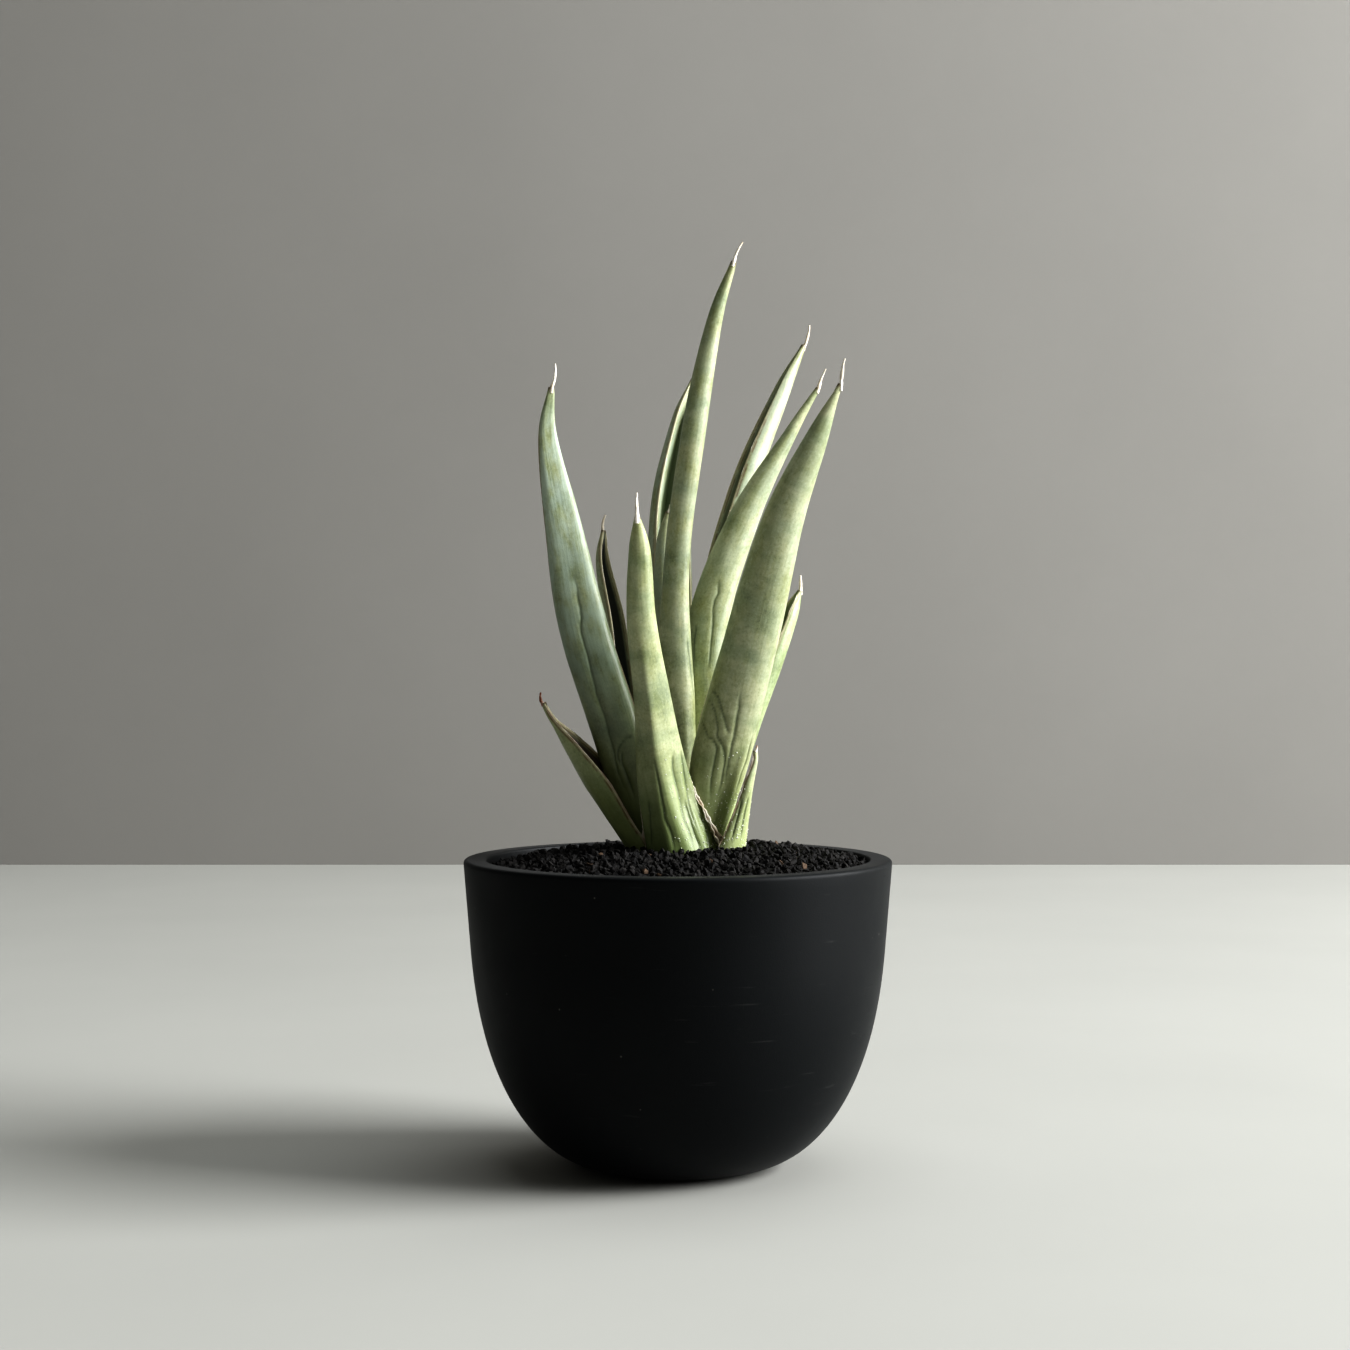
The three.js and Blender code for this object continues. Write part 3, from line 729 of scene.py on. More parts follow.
def creaseMarks(spec, turn, length, shares, girth):
    # how strongly each point of the back is marked by a crease, and by the broader dip around it
    rule = creaseRule
    mark = np.zeros((len(shares), len(turn)))
    dip = np.zeros_like(mark)
    here = np.stack([turn[None] * girth[:, None], np.repeat(length[:, None], len(turn), 1)], -1)
    for number, path in enumerate(spec.get("creases", [])):
        fine = np.linspace(0, 1, rule["steps"] * len(path))
        line, _ = splineThrough([(p[0], p[1], 0) for p in path], fine)
        for point in line:
            at = (point[0] * rule["wanderScale"], spec["seed"] * rule["seedStep"], number * rule["pathStep"])
            point[1] += rule["wander"] * noise.noise(Vector(at))
        row = np.interp(line[:, 0], shares, length)
        wide = np.interp(line[:, 0], shares, girth)
        knots = np.stack([line[:, 1] * wide, row], -1)
        strength = np.clip(np.minimum(fine, 1 - fine) * rule["endFade"], rule["endLeast"], 1)
        for a, b, power in zip(knots[:-1], knots[1:], strength[1:]):
            step = b - a
            t = np.clip(((here - a) @ step) / max(step @ step, 1e-9), 0, 1)
            gap = np.linalg.norm(here - a - t[..., None] * step, axis=-1)
            mark = np.maximum(mark, power * np.exp(-(gap / rule["line"]) ** 2))
            dip = np.maximum(dip, power * np.exp(-(gap / rule["dip"]) ** 2))
    return mark, dip


def ribMarks(spec, turn, shares):
    # broad grooves that fade at their upper end
    press = np.zeros((len(shares), len(turn)))
    for start, end, middle, half, depth in spec.get("ribs", []):
        fade = np.clip((end - shares) / (end - start) * leafRule["ribFade"], 0, 1) ** leafRule["ribPower"]
        press += depth * fade[:, None] * np.exp(-((turn[None] - middle) / half) ** 2)
    return press


def slowSwells(spec, turn, length, shares, width):
    rule = swellRule
    seed = spec["seed"] * rule["seedStep"]
    (broadT, broadL), (fineT, fineL) = rule["broad"], rule["fine"]
    swell = np.array([[
        noise.noise(Vector((t * broadT + seed, l * broadL, seed)))
        + rule["fineShare"] * noise.noise(Vector((t * fineT + seed, l * fineL, rule["finePlane"])))
        for t in turn] for l in length])
    calm = np.clip((1 - shares) * rule["tipCalm"], 0, 1)
    calm = calm * np.clip(width / rule["fullWidth"], rule["leastWidth"], 1)
    return rule["height"] * swell * calm[:, None]


def ringShares(spec):
    # evenly spaced rings, a little closer near the tip
    tall = spec["spine"][-1][2] - spec["spine"][0][2]
    rings = int(leafRule["ringsLeast"] + tall / leafRule["ringStep"])
    return np.linspace(0, 1, rings) ** leafRule["ringCrowd"]


def makeLeafMesh(name, spec):
    rule = leafRule
    shares = ringShares(spec)
    place = leafFrame(spec, shares)[0]
    section, arcOut, inside, acrossShare, width = leafSections(spec, shares)
    length = np.concatenate([[0], np.cumsum(np.linalg.norm(np.diff(place, axis=0), axis=1))])
    arcCount = rule["arcSteps"] + 1
    turn = acrossShare[:arcCount]
    girth = np.linalg.norm(np.diff(section[:, :arcCount], axis=1), axis=-1).sum(1)
    crease, dip = creaseMarks(spec, turn, length, shares, girth)
    press = creaseRule["lineDepth"] * crease + creaseRule["dipDepth"] * dip + ribMarks(spec, turn, shares)
    lift = slowSwells(spec, turn, length, shares, width) - press
    edgeCalm = np.clip(np.minimum(turn, 1 - turn) * swellRule["edgeCalm"], 0, 1)[None]
    section[:, :arcCount] += arcOut * (lift * edgeCalm)[..., None]
    points = placedSections(spec, shares, section)
    points[..., 2] = np.maximum(points[..., 2], rule["foot"])
    rings, around = points.shape[:2]
    # marks: the creases, the distance to the edge and the share of the length
    marks = np.zeros((rings, around, 3))
    marks[:, :arcCount, 0] = crease
    marks[..., 1] = np.minimum(acrossShare, 1 - acrossShare)[None] * girth[:, None]
    marks[..., 2] = shares[:, None]
    # spread: across and along in millimetres, and 1 inside the channel
    spread = np.zeros((rings, around, 3))
    spread[..., 0] = (acrossShare[None] - 0.5) * girth[:, None]
    spread[..., 1] = length[:, None]
    spread[..., 2] = inside[None]
    vertices = np.concatenate([points.reshape(-1, 3), points[:1].mean(1), points[-1:].mean(1)]) * mm
    faces = tubeFaces(rings, around)
    root, tip, last = rings * around, rings * around + 1, (rings - 1) * around
    for side in range(around):
        other = (side + 1) % around
        faces.append((root, other, side))
        faces.append((tip, last + side, last + other))
    mesh = bpy.data.meshes.new(name)
    mesh.from_pydata(vertices.tolist(), [], faces)
    for label, values in (("leafSpread", spread), ("leafMarks", marks)):
        ends = np.stack([values[0].mean(0), values[-1].mean(0)])
        flat = np.concatenate([values.reshape(-1, 3), ends]).astype(np.float32).ravel()
        mesh.attributes.new(label, "FLOAT_VECTOR", "POINT").data.foreach_set("vector", flat)
    faceOutward(mesh)
    lipMiddle = rule["lipSteps"] // 2
    return mesh, [points[:, -lipMiddle], points[:, arcCount + lipMiddle - 1]]


# skin patterns: scale across, along and inside the leaf, detail, roughness and shift
skinPatterns = {
    "mottle": ((0.16, 0.07, 3.0), 4.0, 0.55, 0.0), "band": ((0.07, 0.11, 2.0), 2.0, 0.45, 5.0),
    "streak": ((1.5, 0.03, 2.0), 2.0, 0.5, 9.0), "pore": ((3.2, 2.2, 2.0), 2.0, 0.6, 13.0),
    "rub": ((0.35, 0.12, 2.0), 3.0, 0.6, 17.0), "worn": ((0.4, 0.3, 1.0), 3.0, 0.7, 21.0),
    "fleck": ((1.7, 1.3, 2.0), 3.0, 0.65, 29.0), "blotch": ((0.35, 0.5, 2.0), 3.0, 0.6, 33.0),
}
# where each effect starts on its pattern or measure, where it is full, and its strength
skinZones = {
    "mottle": (0.35, 0.68, 1.0), "band": (0.44, 0.66, 0.8), "streak": (0.45, 0.7, 0.1),
    "blotch": (0.4, 0.68, 0.3), "paleFleck": (0.52, 0.72, 0.5), "darkFleck": (0.5, 0.28, 0.5),
    "waxFoot": (0.12, 0.4, 1.0), "waxTip": (1.0, 0.75, 1.0), "rub": (0.3, 0.62, 0.7),
    "low": (0.7, 0.28, 1.0), "root": (0.135, 0.098, 1.0), "olive": (0.42, 0.7, 0.18),
    "deep": (0.55, 1.0, 1.0), "edge": (0.05, -0.05, 1.0), "worn": (0.36, 0.55, 1.0),
    "brown": (1.0, 0.55, 1.0), "rim": (0.45, 0.2, 1.0), "tip": (0.975, 1.0, 1.0),
}
skinTones = {
    "band": tone(176, 192, 168), "deep": tone(156, 168, 140), "pale": tone(214, 220, 196),
    "low": tone(118, 128, 98), "olive": tone(84, 98, 52), "crease": tone(66, 82, 48),
    "brown": tone(112, 78, 52), "rim": tone(196, 190, 158), "tip": tone(104, 92, 66),
}
skinShares = {
    "seedStep": 3.7, "pale": 0.5, "rootWander": 0.02, "root": 0.75, "crease": 0.6, "brown": 0.7,
    "rimLeast": 0.15, "rimMost": 0.75, "rough": (0.3, 0.7, 0.4, 0.56), "brownRough": 0.25,
    "poreRelief": 0.5, "streakRelief": 0.9, "creaseRelief": 1.2,
}


def makeLeafSkinGroup():
    # waxy leaf skin: mottled flesh, cross bands, bluish bloom, greener root and dry edge, with painted
    # shade in the creases, on the lower half and deep in the channel
    colorNames = ("Flesh", "Shade", "Bloom", "Root", "Inside Tone")
    amountNames = (
        "Bands", "Bloom Amount", "Low Shade", "Dry Edge", "Edge Up To", "Inside Amount", "Inside From",
        "Inside Full", "Seed",
    )
    tree, source, sink = newGroup(
        "leafSkin", dict.fromkeys(colorNames, "Color") | dict.fromkeys(amountNames, "Float"),
        {"Color": "Color", "Roughness": "Float", "Height": "Float"},
    )
    spread = addNode(tree, "ShaderNodeAttribute", attribute_name="leafSpread").outputs["Vector"]
    marks = addNode(tree, "ShaderNodeAttribute", attribute_name="leafMarks").outputs["Vector"]
    inside = axesOf(tree, spread)[2]
    crease, edgeGap, share = axesOf(tree, marks)
    height = axesOf(tree, objectPlace(tree))[2]

    def pattern(name):
        scale, detail, rough, shift = skinPatterns[name]
        moved = addNode(tree, "ShaderNodeMapping", {"Vector": spread, "Scale": scale}).outputs[0]
        seed = addNode(
            tree, "ShaderNodeMath", {0: source["Seed"], 1: skinShares["seedStep"], 2: shift},
            operation="MULTIPLY_ADD",
        ).outputs[0]
        values = {"Vector": moved, "Scale": 1.0, "Detail": detail, "Roughness": rough, "W": seed}
        return addNode(tree, "ShaderNodeTexNoise", values, noise_dimensions="4D").outputs["Fac"]

    def zone(name, value):
        start, full, strength = skinZones[name]
        mask = stretch(tree, value, start, full)
        return mask if strength == 1.0 else calc(tree, "MULTIPLY", mask, strength)

    def darkened(color, name):
        return blendColor(tree, 1.0, color, skinTones[name], "MULTIPLY")

    mottle, streak, fleck, rub = (pattern(name) for name in ("mottle", "streak", "fleck", "rub"))
    color = blendColor(tree, zone("mottle", mottle), source["Flesh"], source["Shade"])
    banded = product(tree, zone("band", pattern("band")), source["Bands"])
    color = blendColor(tree, banded, color, darkened(color, "band"))
    color = blendColor(tree, zone("streak", streak), color, source["Shade"])
    deeper = darkened(color, "deep")
    color = blendColor(tree, zone("blotch", pattern("blotch")), color, deeper)
    paler = blendColor(tree, skinShares["pale"], color, skinTones["pale"])
    color = blendColor(tree, zone("paleFleck", fleck), color, paler)
    color = blendColor(tree, zone("darkFleck", fleck), color, deeper)
    # bluish wax in the middle of the leaf, rubbed off in patches
    wax = product(
        tree, zone("waxFoot", share), zone("waxTip", share), zone("rub", rub), source["Bloom Amount"],
    )
    color = blendColor(tree, wax, color, source["Bloom"])
    # painted shade: the lower half of a leaf that stands deep among the others is darkened, as if shaded by
    # the leaves around it
    low = product(tree, zone("low", share), source["Low Shade"])
    color = blendColor(tree, low, color, darkened(color, "low"))
    # another, greener tone where the leaf comes out of the grit
    wander = calc(tree, "MULTIPLY", mottle, skinShares["rootWander"])
    rootMask = zone("root", calc(tree, "ADD", height, wander))
    color = blendColor(tree, calc(tree, "MULTIPLY", rootMask, skinShares["root"]), color, source["Root"])
    color = blendColor(tree, product(tree, zone("olive", streak), rootMask), color, skinTones["olive"])
    # painted shade: a dark green line along each crease, on top of its pressed-in relief
    color = blendColor(tree, product(tree, crease, skinShares["crease"]), color, skinTones["crease"])
    # painted shade in the deep part of the channel, growing away from the edges
    farIn = stretch(tree, edgeGap, source["Inside From"], source["Inside Full"])
    deep = product(tree, zone("deep", inside), farIn, source["Inside Amount"])
    color = blendColor(tree, deep, color, source["Inside Tone"])
    # a thin brown line and a pale dry rim along the edges
    edgeZone = zone("edge", calc(tree, "SUBTRACT", share, source["Edge Up To"]))
    brown = product(
        tree, zone("brown", edgeGap), zone("worn", pattern("worn")), source["Dry Edge"], edgeZone,
    )
    color = blendColor(tree, calc(tree, "MULTIPLY", brown, skinShares["brown"]), color, skinTones["brown"])
    rimShare = stretch(tree, edgeZone, 0.0, 1.0, skinShares["rimLeast"], skinShares["rimMost"])
    color = blendColor(tree, product(tree, zone("rim", edgeGap), rimShare), color, skinTones["rim"])
    color = blendColor(tree, zone("tip", share), color, skinTones["tip"])
    tree.links.new(color, sink["Color"])
    rough = stretch(tree, rub, *skinShares["rough"])
    dryRough = calc(tree, "MULTIPLY", brown, skinShares["brownRough"])
    tree.links.new(calc(tree, "ADD", rough, dryRough, clamp=True), sink["Roughness"])
    relief = calc(tree, "MULTIPLY", pattern("pore"), skinShares["poreRelief"])
    relief = calc(tree, "ADD", relief, calc(tree, "MULTIPLY", streak, skinShares["streakRelief"]))
    relief = calc(tree, "SUBTRACT", relief, calc(tree, "MULTIPLY", crease, skinShares["creaseRelief"]))
    tree.links.new(relief, sink["Height"])
    return tree


# the inside tone, and the channel amount and distances, are painted shade deep in a leaf's channel
leafLook = {
    "flesh": tone(188, 191, 154), "shade": tone(157, 162, 116), "bloom": tone(186, 202, 190),
    "root": tone(164, 178, 118), "inside": tone(70, 78, 48), "paintedChannelShadeAmount": 0.3, "paintedChannelShadeFrom": (0.2, 1.6),
    "bump": (0.35, 0.00025),
}
leafSkin = makeLeafSkinGroup()


def makeLeafMaterial(name, spec):
    look = leafLook
    material, tree, shader = newMaterial(name + "_skin", Specular_IOR_Level=0.8)
    tint = (*spec.get("tint", (1.0, 1.0, 1.0)), 1.0)
    paintedChannelShadeFrom, paintedChannelShadeFull = spec.get("paintedChannelShadeFrom", look["paintedChannelShadeFrom"])
    skin = addNode(tree, "ShaderNodeGroup", node_tree=leafSkin)
    flesh, shade = ([a * b for a, b in zip(look[key], tint)] for key in ("flesh", "shade"))
    values = {
        "Flesh": flesh, "Shade": shade, "Bloom": look["bloom"], "Root": spec.get("paintedShadeRootTone", look["root"]),
        "Inside Tone": spec.get("paintedChannelShadeTone", look["inside"]),
        "Bands": spec["bands"], "Bloom Amount": spec["bloom"], "Low Shade": spec.get("paintedLowShade", 0.0),
        "Dry Edge": spec["dryEdge"], "Edge Up To": spec.get("edgeUpTo", 1.0),
        "Inside Amount": spec.get("inside", look["paintedChannelShadeAmount"]),
        "Inside From": paintedChannelShadeFrom, "Inside Full": paintedChannelShadeFull, "Seed": spec["seed"],
    }
    for label, value in values.items():
        skin.inputs[label].default_value = value
    tree.links.new(skin.outputs["Color"], shader.inputs["Base Color"])
    tree.links.new(skin.outputs["Roughness"], shader.inputs["Roughness"])
    addRelief(tree, shader, skin.outputs["Height"], *look["bump"])
    return material


leafEdges = {}
for name, spec in leafSpecs.items():
    leafMesh, leafEdges[name] = makeLeafMesh(name + "_grown", spec)
    leaf = linkObject(name + "_grown", leafMesh)
    leaf.data.materials.append(makeLeafMaterial(name, spec))
    finishPiece(leaf, "leaf", name)
print("leaves made:", len(leafSpecs))


# dry papery threads: the awn at each tip and the worn edges

drySpec = {
    "awnPoints": 11, "awnFrom": -0.25, "awnRadii": (0.72, 0.54, 0.28), "awnAt": (0, 0.3, 1),
    "rustyTip": (0.9, 0.1), "edgeThin": 0.03, "out": 0.9, "forward": 0.6, "wornScale": 0.35,
    "worn": (0.5, 0.75), "endFade": 8, "rust": (0.08, 0.5), "least": 4,
    "sides": 7, "step": 0.5, "flat": 0.72, "wobble": 0.5, "wobbleScale": 330.0, "twist": 7.0,
}
dryLook = {
    "pale": tone(246, 241, 230), "dark": tone(222, 207, 184), "rust": tone(128, 76, 52),
    "patch": (260.0, 4.0), "darkRange": (0.35, 0.7), "rustRange": (0.3, 0.6), "fibre": (2200.0, 2.0),
    "bump": (0.3, 0.0001),
}
rustyLeaves = ("leaf_low_left", "leaf_small_right")

# sideways bow of each awn at its middle, and how far down the left and right edges are frayed:
# (from share, to share, thickness)
dryLooks = {
    "leaf_young_spear": {"bow": (0.1, 0, 0)},
    "leaf_tallest": {"bow": (-0.35, 0, 0.1)},
    "leaf_middle_back": {"bow": (-0.2, 0, 0), "left": [(0.5, 0.97, 0.1)], "right": [(0.3, 0.9, 0.12)]},
    "leaf_right_middle": {"bow": (-0.2, 0, 0), "right": [(0.2, 0.5, 0.1)]},
    "leaf_right_front": {"bow": (-0.3, 0, 0.2), "left": [(0.02, 0.33, 0.24), (0.33, 0.6, 0.14)]},
    "leaf_right_back": {"bow": (0.3, 0, -0.2), "left": [(0.4, 0.72, 0.2)], "right": [(0.3, 0.9, 0.12)]},
    "leaf_tall_left": {"bow": (0.5, 0, -0.2), "right": [(0.2, 0.62, 0.16), (0.62, 0.8, 0.1)]},
    "leaf_short_left": {"bow": (-0.4, 0, 0), "left": [(0.3, 0.95, 0.14)], "right": [(0.3, 0.95, 0.14)]},
    "leaf_low_right": {"bow": (0.1, 0, 0), "left": [(0.6, 0.98, 0.16)], "right": [(0.55, 0.95, 0.1)]},
    "leaf_front": {
        "bow": (-0.1, 0, 0), "stout": 1.3, "left": [(0.0, 0.22, 0.2)],
        "right": [(0.05, 0.27, 0.26), (0.27, 0.34, 0.16)],
    },
    "leaf_small_right": {"bow": (0.1, 0, 0), "left": [(0.0, 0.95, 0.3)], "right": [(0.1, 0.9, 0.14)]},
    "leaf_low_left": {"bow": (-0.4, 0, -0.4), "left": [(0.0, 0.98, 0.2)], "right": [(0.1, 0.98, 0.2)]},
}


def makeThreadTree():
    # lines with a thickness at each point become wavy, slightly flat tubes
    tree, source, sink = newGroup(
        "dryThread",
        {"Lines": "Geometry", "Step": "Float", "Sides": "Int", "Flatness": "Float", "Wobble": "Float",
         "Wobble Scale": "Float", "Seed": "Float", "Surface": "Material"},
        {"Threads": "Geometry"}, "GeometryNodeTree",
    )
    lines = addNode(tree, "GeometryNodeMeshToCurve", {"Mesh": source["Lines"]}).outputs[0]
    even = addNode(
        tree, "GeometryNodeResampleCurve", {"Curve": lines, "Length": source["Step"]}, mode="LENGTH",
    ).outputs[0]
    place = addNode(tree, "GeometryNodeInputPosition").outputs[0]
    waves = addNode(
        tree, "ShaderNodeTexNoise",
        {"Vector": place, "W": source["Seed"], "Scale": source["Wobble Scale"], "Detail": 3.0},
        noise_dimensions="4D",
    ).outputs["Color"]
    centred = addNode(
        tree, "ShaderNodeVectorMath", {0: waves, 1: (0.5, 0.5, 0.5)}, operation="SUBTRACT",
    ).outputs[0]
    shift = addNode(
        tree, "ShaderNodeVectorMath", {0: centred, "Scale": source["Wobble"]}, operation="SCALE",
    ).outputs[0]
    moved = addNode(tree, "GeometryNodeSetPosition", {"Geometry": even, "Offset": shift}).outputs[0]
    twist = calc(tree, "MULTIPLY", axesOf(tree, centred)[0], drySpec["twist"])
    twisted = addNode(tree, "GeometryNodeSetCurveTilt", {"Curve": moved, "Tilt": twist}).outputs[0]
    ring = addNode(
        tree, "GeometryNodeCurvePrimitiveCircle", {"Resolution": source["Sides"], "Radius": 1.0},
        mode="RADIUS",
    ).outputs["Curve"]
    squeeze = addNode(tree, "ShaderNodeCombineXYZ", {0: 1.0, 1: source["Flatness"], 2: 1.0}).outputs[0]
    oval = addNode(tree, "GeometryNodeTransform", {"Geometry": ring, "Scale": squeeze}).outputs[0]
    tubes = addNode(
        tree, "GeometryNodeCurveToMesh",
        {"Curve": twisted, "Profile Curve": oval, "Scale": namedShare(tree, "thick"), "Fill Caps": True},
    ).outputs[0]
    closeTree(tree, tubes, source["Surface"], sink["Threads"])
    return tree


def makeDryMaterial(look):
    material, tree, shader = newMaterial("dryPaper", Roughness=0.75, Specular_IOR_Level=0.3)
    place = objectPlace(tree)
    patch = clouds(tree, place, *look["patch"])
    rust = addNode(tree, "ShaderNodeAttribute", attribute_name="rust").outputs["Fac"]
    color = blendColor(tree, stretch(tree, patch, *look["darkRange"]), look["pale"], look["dark"])
    stained = product(tree, stretch(tree, patch, *look["rustRange"]), rust)
    color = blendColor(tree, stained, color, look["rust"])
    tree.links.new(color, shader.inputs["Base Color"])
    addRelief(tree, shader, clouds(tree, place, *look["fibre"]), *look["bump"])
    return material


def dryLines(name):
    # the lines to thicken, as (points, thickness, rust at each point)
    rule, spec, look = drySpec, leafSpecs[name], dryLooks[name]
    tip = np.array(spec["spine"][-1], float)
    reach, bow = np.array(spec["awn"], float), np.array(look["bow"], float)
    share = np.linspace(rule["awnFrom"], 1, rule["awnPoints"])
    awn = tip + reach * share[:, None] + bow * (4 * share * (1 - share))[:, None].clip(0)
    rusty = name in rustyLeaves
    awnRadius = np.interp(share, rule["awnAt"], rule["awnRadii"])
    awnRadius = awnRadius * np.interp(share, (0, 1), (look.get("stout", 1.0), 1))
    rustFrom, tipRust = rule["rustyTip"]
    lines = [(awn, awnRadius, rusty + tipRust * (share > rustFrom))]
    shares = ringShares(spec)
    _, back, acrossWay = leafFrame(spec, shares)
    for edge, side, way in zip(leafEdges[name], ("left", "right"), (acrossWay, -acrossWay)):
        for start, end, thickness in look.get(side, []):
            picked = (shares >= start) & (shares <= end) & (edge[:, 2] > leafRule["gritLevel"])
            run = edge[picked] + (way[picked] * rule["out"] + back[picked] * rule["forward"]) * thickness
            if len(run) < rule["least"]:
                continue
            t = np.linspace(0, 1, len(run))
            worn = np.array([noise.noise(Vector(point) * rule["wornScale"]) for point in run])
            worn = worn * rule["worn"][0] + rule["worn"][1]
            fade = np.clip(np.minimum(t, 1 - t) * rule["endFade"], 0, 1)
            stain = rule["rust"][0] + rule["rust"][1] * rusty
            lines.append((run, rule["edgeThin"] + thickness * worn * fade, stain))
    return lines


threadTree = makeThreadTree()
dryMaterial = makeDryMaterial(dryLook)


def makeThreads(name, lines, seed):
    points, thick, rust, links = [], [], [], []
    for line, thickness, stain in lines:
        first = len(points)
        points += (line * mm).tolist()
        thick += (thickness * mm).tolist()
        rust += np.broadcast_to(stain, len(line)).tolist()
        links += [(i, i + 1) for i in range(first, len(points) - 1)]
    mesh = bpy.data.meshes.new(name + "_lines")
    mesh.from_pydata(points, links, [])
    markPoints(mesh, "thick", thick)
    markPoints(mesh, "rust", rust)
    carrier = linkObject(name + "_lines", mesh)
    values = {
        "Step": drySpec["step"] * mm, "Sides": drySpec["sides"], "Flatness": drySpec["flat"],
        "Wobble": drySpec["wobble"] * mm, "Wobble Scale": drySpec["wobbleScale"], "Seed": float(seed),
        "Surface": dryMaterial,
    }
    threads = grownPiece(carrier, threadTree, values, name)
    faceOutward(threads.data)
    return threads


for name, spec in leafSpecs.items():
    finishPiece(makeThreads(name + "_dry_parts", dryLines(name), spec["seed"]), "leaf")
print("dry awns and edges made")


# papery flaps where the base of a leaf has dried and curled away

# side 0 is the left edge and 1 the right one; start and end are shares of the leaf's length; curl and
# tilt are degrees; flare widens a flap towards its foot, and rim is the thickness of a rolled rim
flapSpecs = {
    "leaf_front_sheath_right": {
        "leaf": "leaf_front", "side": 1, "start": 0.0, "end": 0.25, "width": 5.6, "flare": 2.0,
        "curl": -40, "tilt": 78, "ragged": 0.12, "rim": 0.3, "seed": 3,
    },
    "leaf_front_collar": {
        "leaf": "leaf_front", "side": 1, "start": 0.0, "end": 0.2, "width": 5.2, "flare": 1.1,
        "curl": 95, "tilt": 50, "ragged": 0.3, "rim": 0.22, "seed": 21,
    },
    "leaf_front_sheath_left": {
        "leaf": "leaf_front", "side": 0, "start": 0.02, "end": 0.17, "width": 1.3,
        "curl": 120, "tilt": -10, "ragged": 0.5, "seed": 8,
    },
    "leaf_right_front_sheath": {
        "leaf": "leaf_right_front", "side": 0, "start": 0.1, "end": 0.3, "width": 0.8,
        "curl": 120, "tilt": 0, "ragged": 0.6, "seed": 13,
    },
}
flapRule = {
    "steps": 12, "inset": 0.25, "least": 0.06, "end": 0.03, "endPower": 0.6, "thickness": (0.14, 0.05),
    "rust": (0.02, 0.3),
    "wear": ((9, 0, 1.0), (31, 5, 0.6)), "turn": (0.8, 0.6), "turnScale": 5, "turnPlane": 9,
    "fold": 0.1, "foldScale": (0.7, 0.9), "fineFoldScale": (1.9, 2.3), "fineFoldShare": 0.5, "foldFrom": 3,
    "rimRange": (0.7, 0.5), "rimBeads": 0.9,
}


def flapWidth(flap, t):
    # how wide a flap is at a share of its length, with a worn outline
    worn = sum(
        strength * noise.noise(Vector((t * scale, flap["seed"], plane)))
        for scale, plane, strength in flapRule["wear"]
    )
    if "flare" in flap:
        reach = (1 - t) ** flap["flare"] + flapRule["least"]
    else:
        end = flapRule["end"]
        reach = math.sin(math.pi * min(max(t, end), 1 - end)) ** flapRule["endPower"]
    return flap["width"] * reach * (1 + flap["ragged"] * worn)


def makeFlap(name, flap):
    # a thin curled strip that grows out of the edge of a leaf
    rule = flapRule
    spec = leafSpecs[flap["leaf"]]
    shares = ringShares(spec)
    _, back, acrossWay = leafFrame(spec, shares)
    picked = (shares >= flap["start"]) & (shares <= flap["end"])
    edge, back, acrossWay = leafEdges[flap["leaf"]][flap["side"]][picked], back[picked], acrossWay[picked]
    outward = acrossWay if flap["side"] == 0 else -acrossWay
    rings, steps = len(edge), rule["steps"]
    grid = np.zeros((rings, steps + 1, 3))
    normal = np.zeros_like(grid)
    for ring in range(rings):
        t = ring / (rings - 1)
        wide = flapWidth(flap, t)
        drift = noise.noise(Vector((t * rule["turnScale"], flap["seed"], rule["turnPlane"])))
        turnBy = flap["curl"] * (rule["turn"][0] + rule["turn"][1] * drift)
        point = edge[ring] - rule["inset"] * outward[ring]
        for step in range(steps + 1):
            angle = math.radians(flap["tilt"] + turnBy * step / steps)
            way = math.cos(angle) * outward[ring] + math.sin(angle) * back[ring]
            grid[ring, step] = point
            normal[ring, step] = -math.sin(angle) * outward[ring] + math.cos(angle) * back[ring]
            point = point + way * wide / steps
    # wrinkles across the flap, deeper on a wide one
    (foldX, foldZ), (fineX, fineZ) = rule["foldScale"], rule["fineFoldScale"]
    for ring in range(rings):
        for step in range(steps + 1):
            x, _, z = grid[ring, step]
            fold = noise.noise(Vector((x * foldX, z * foldZ, flap["seed"])))
            fold += rule["fineFoldShare"] * noise.noise(Vector((x * fineX, z * fineZ, 1)))
            push = normal[ring, step] * rule["fold"] * flap["width"]
            grid[ring, step] += push * fold * min(step / rule["foldFrom"], 1)
    thin = np.linspace(*rule["thickness"], steps + 1)[None, :, None]
    outer, inner = grid + normal * thin, grid - normal * thin
    loop = np.concatenate([outer, inner[:, ::-1]], 1)
    around = loop.shape[1]
    faces = tubeFaces(rings, around)
    faces += [tuple(range(around))[::-1], tuple(range((rings - 1) * around, rings * around))]
    mesh = bpy.data.meshes.new(name)
    mesh.from_pydata((loop.reshape(-1, 3) * mm).tolist(), [], faces)
    rust = np.concatenate([np.linspace(0, 1, steps + 1), np.linspace(1, 0, steps + 1)]) ** 2
    markPoints(mesh, "rust", np.tile(rule["rust"][0] + rule["rust"][1] * rust, rings))
    mesh.materials.append(dryMaterial)
    faceOutward(mesh)
    return linkObject(name, mesh), grid[:, -1]


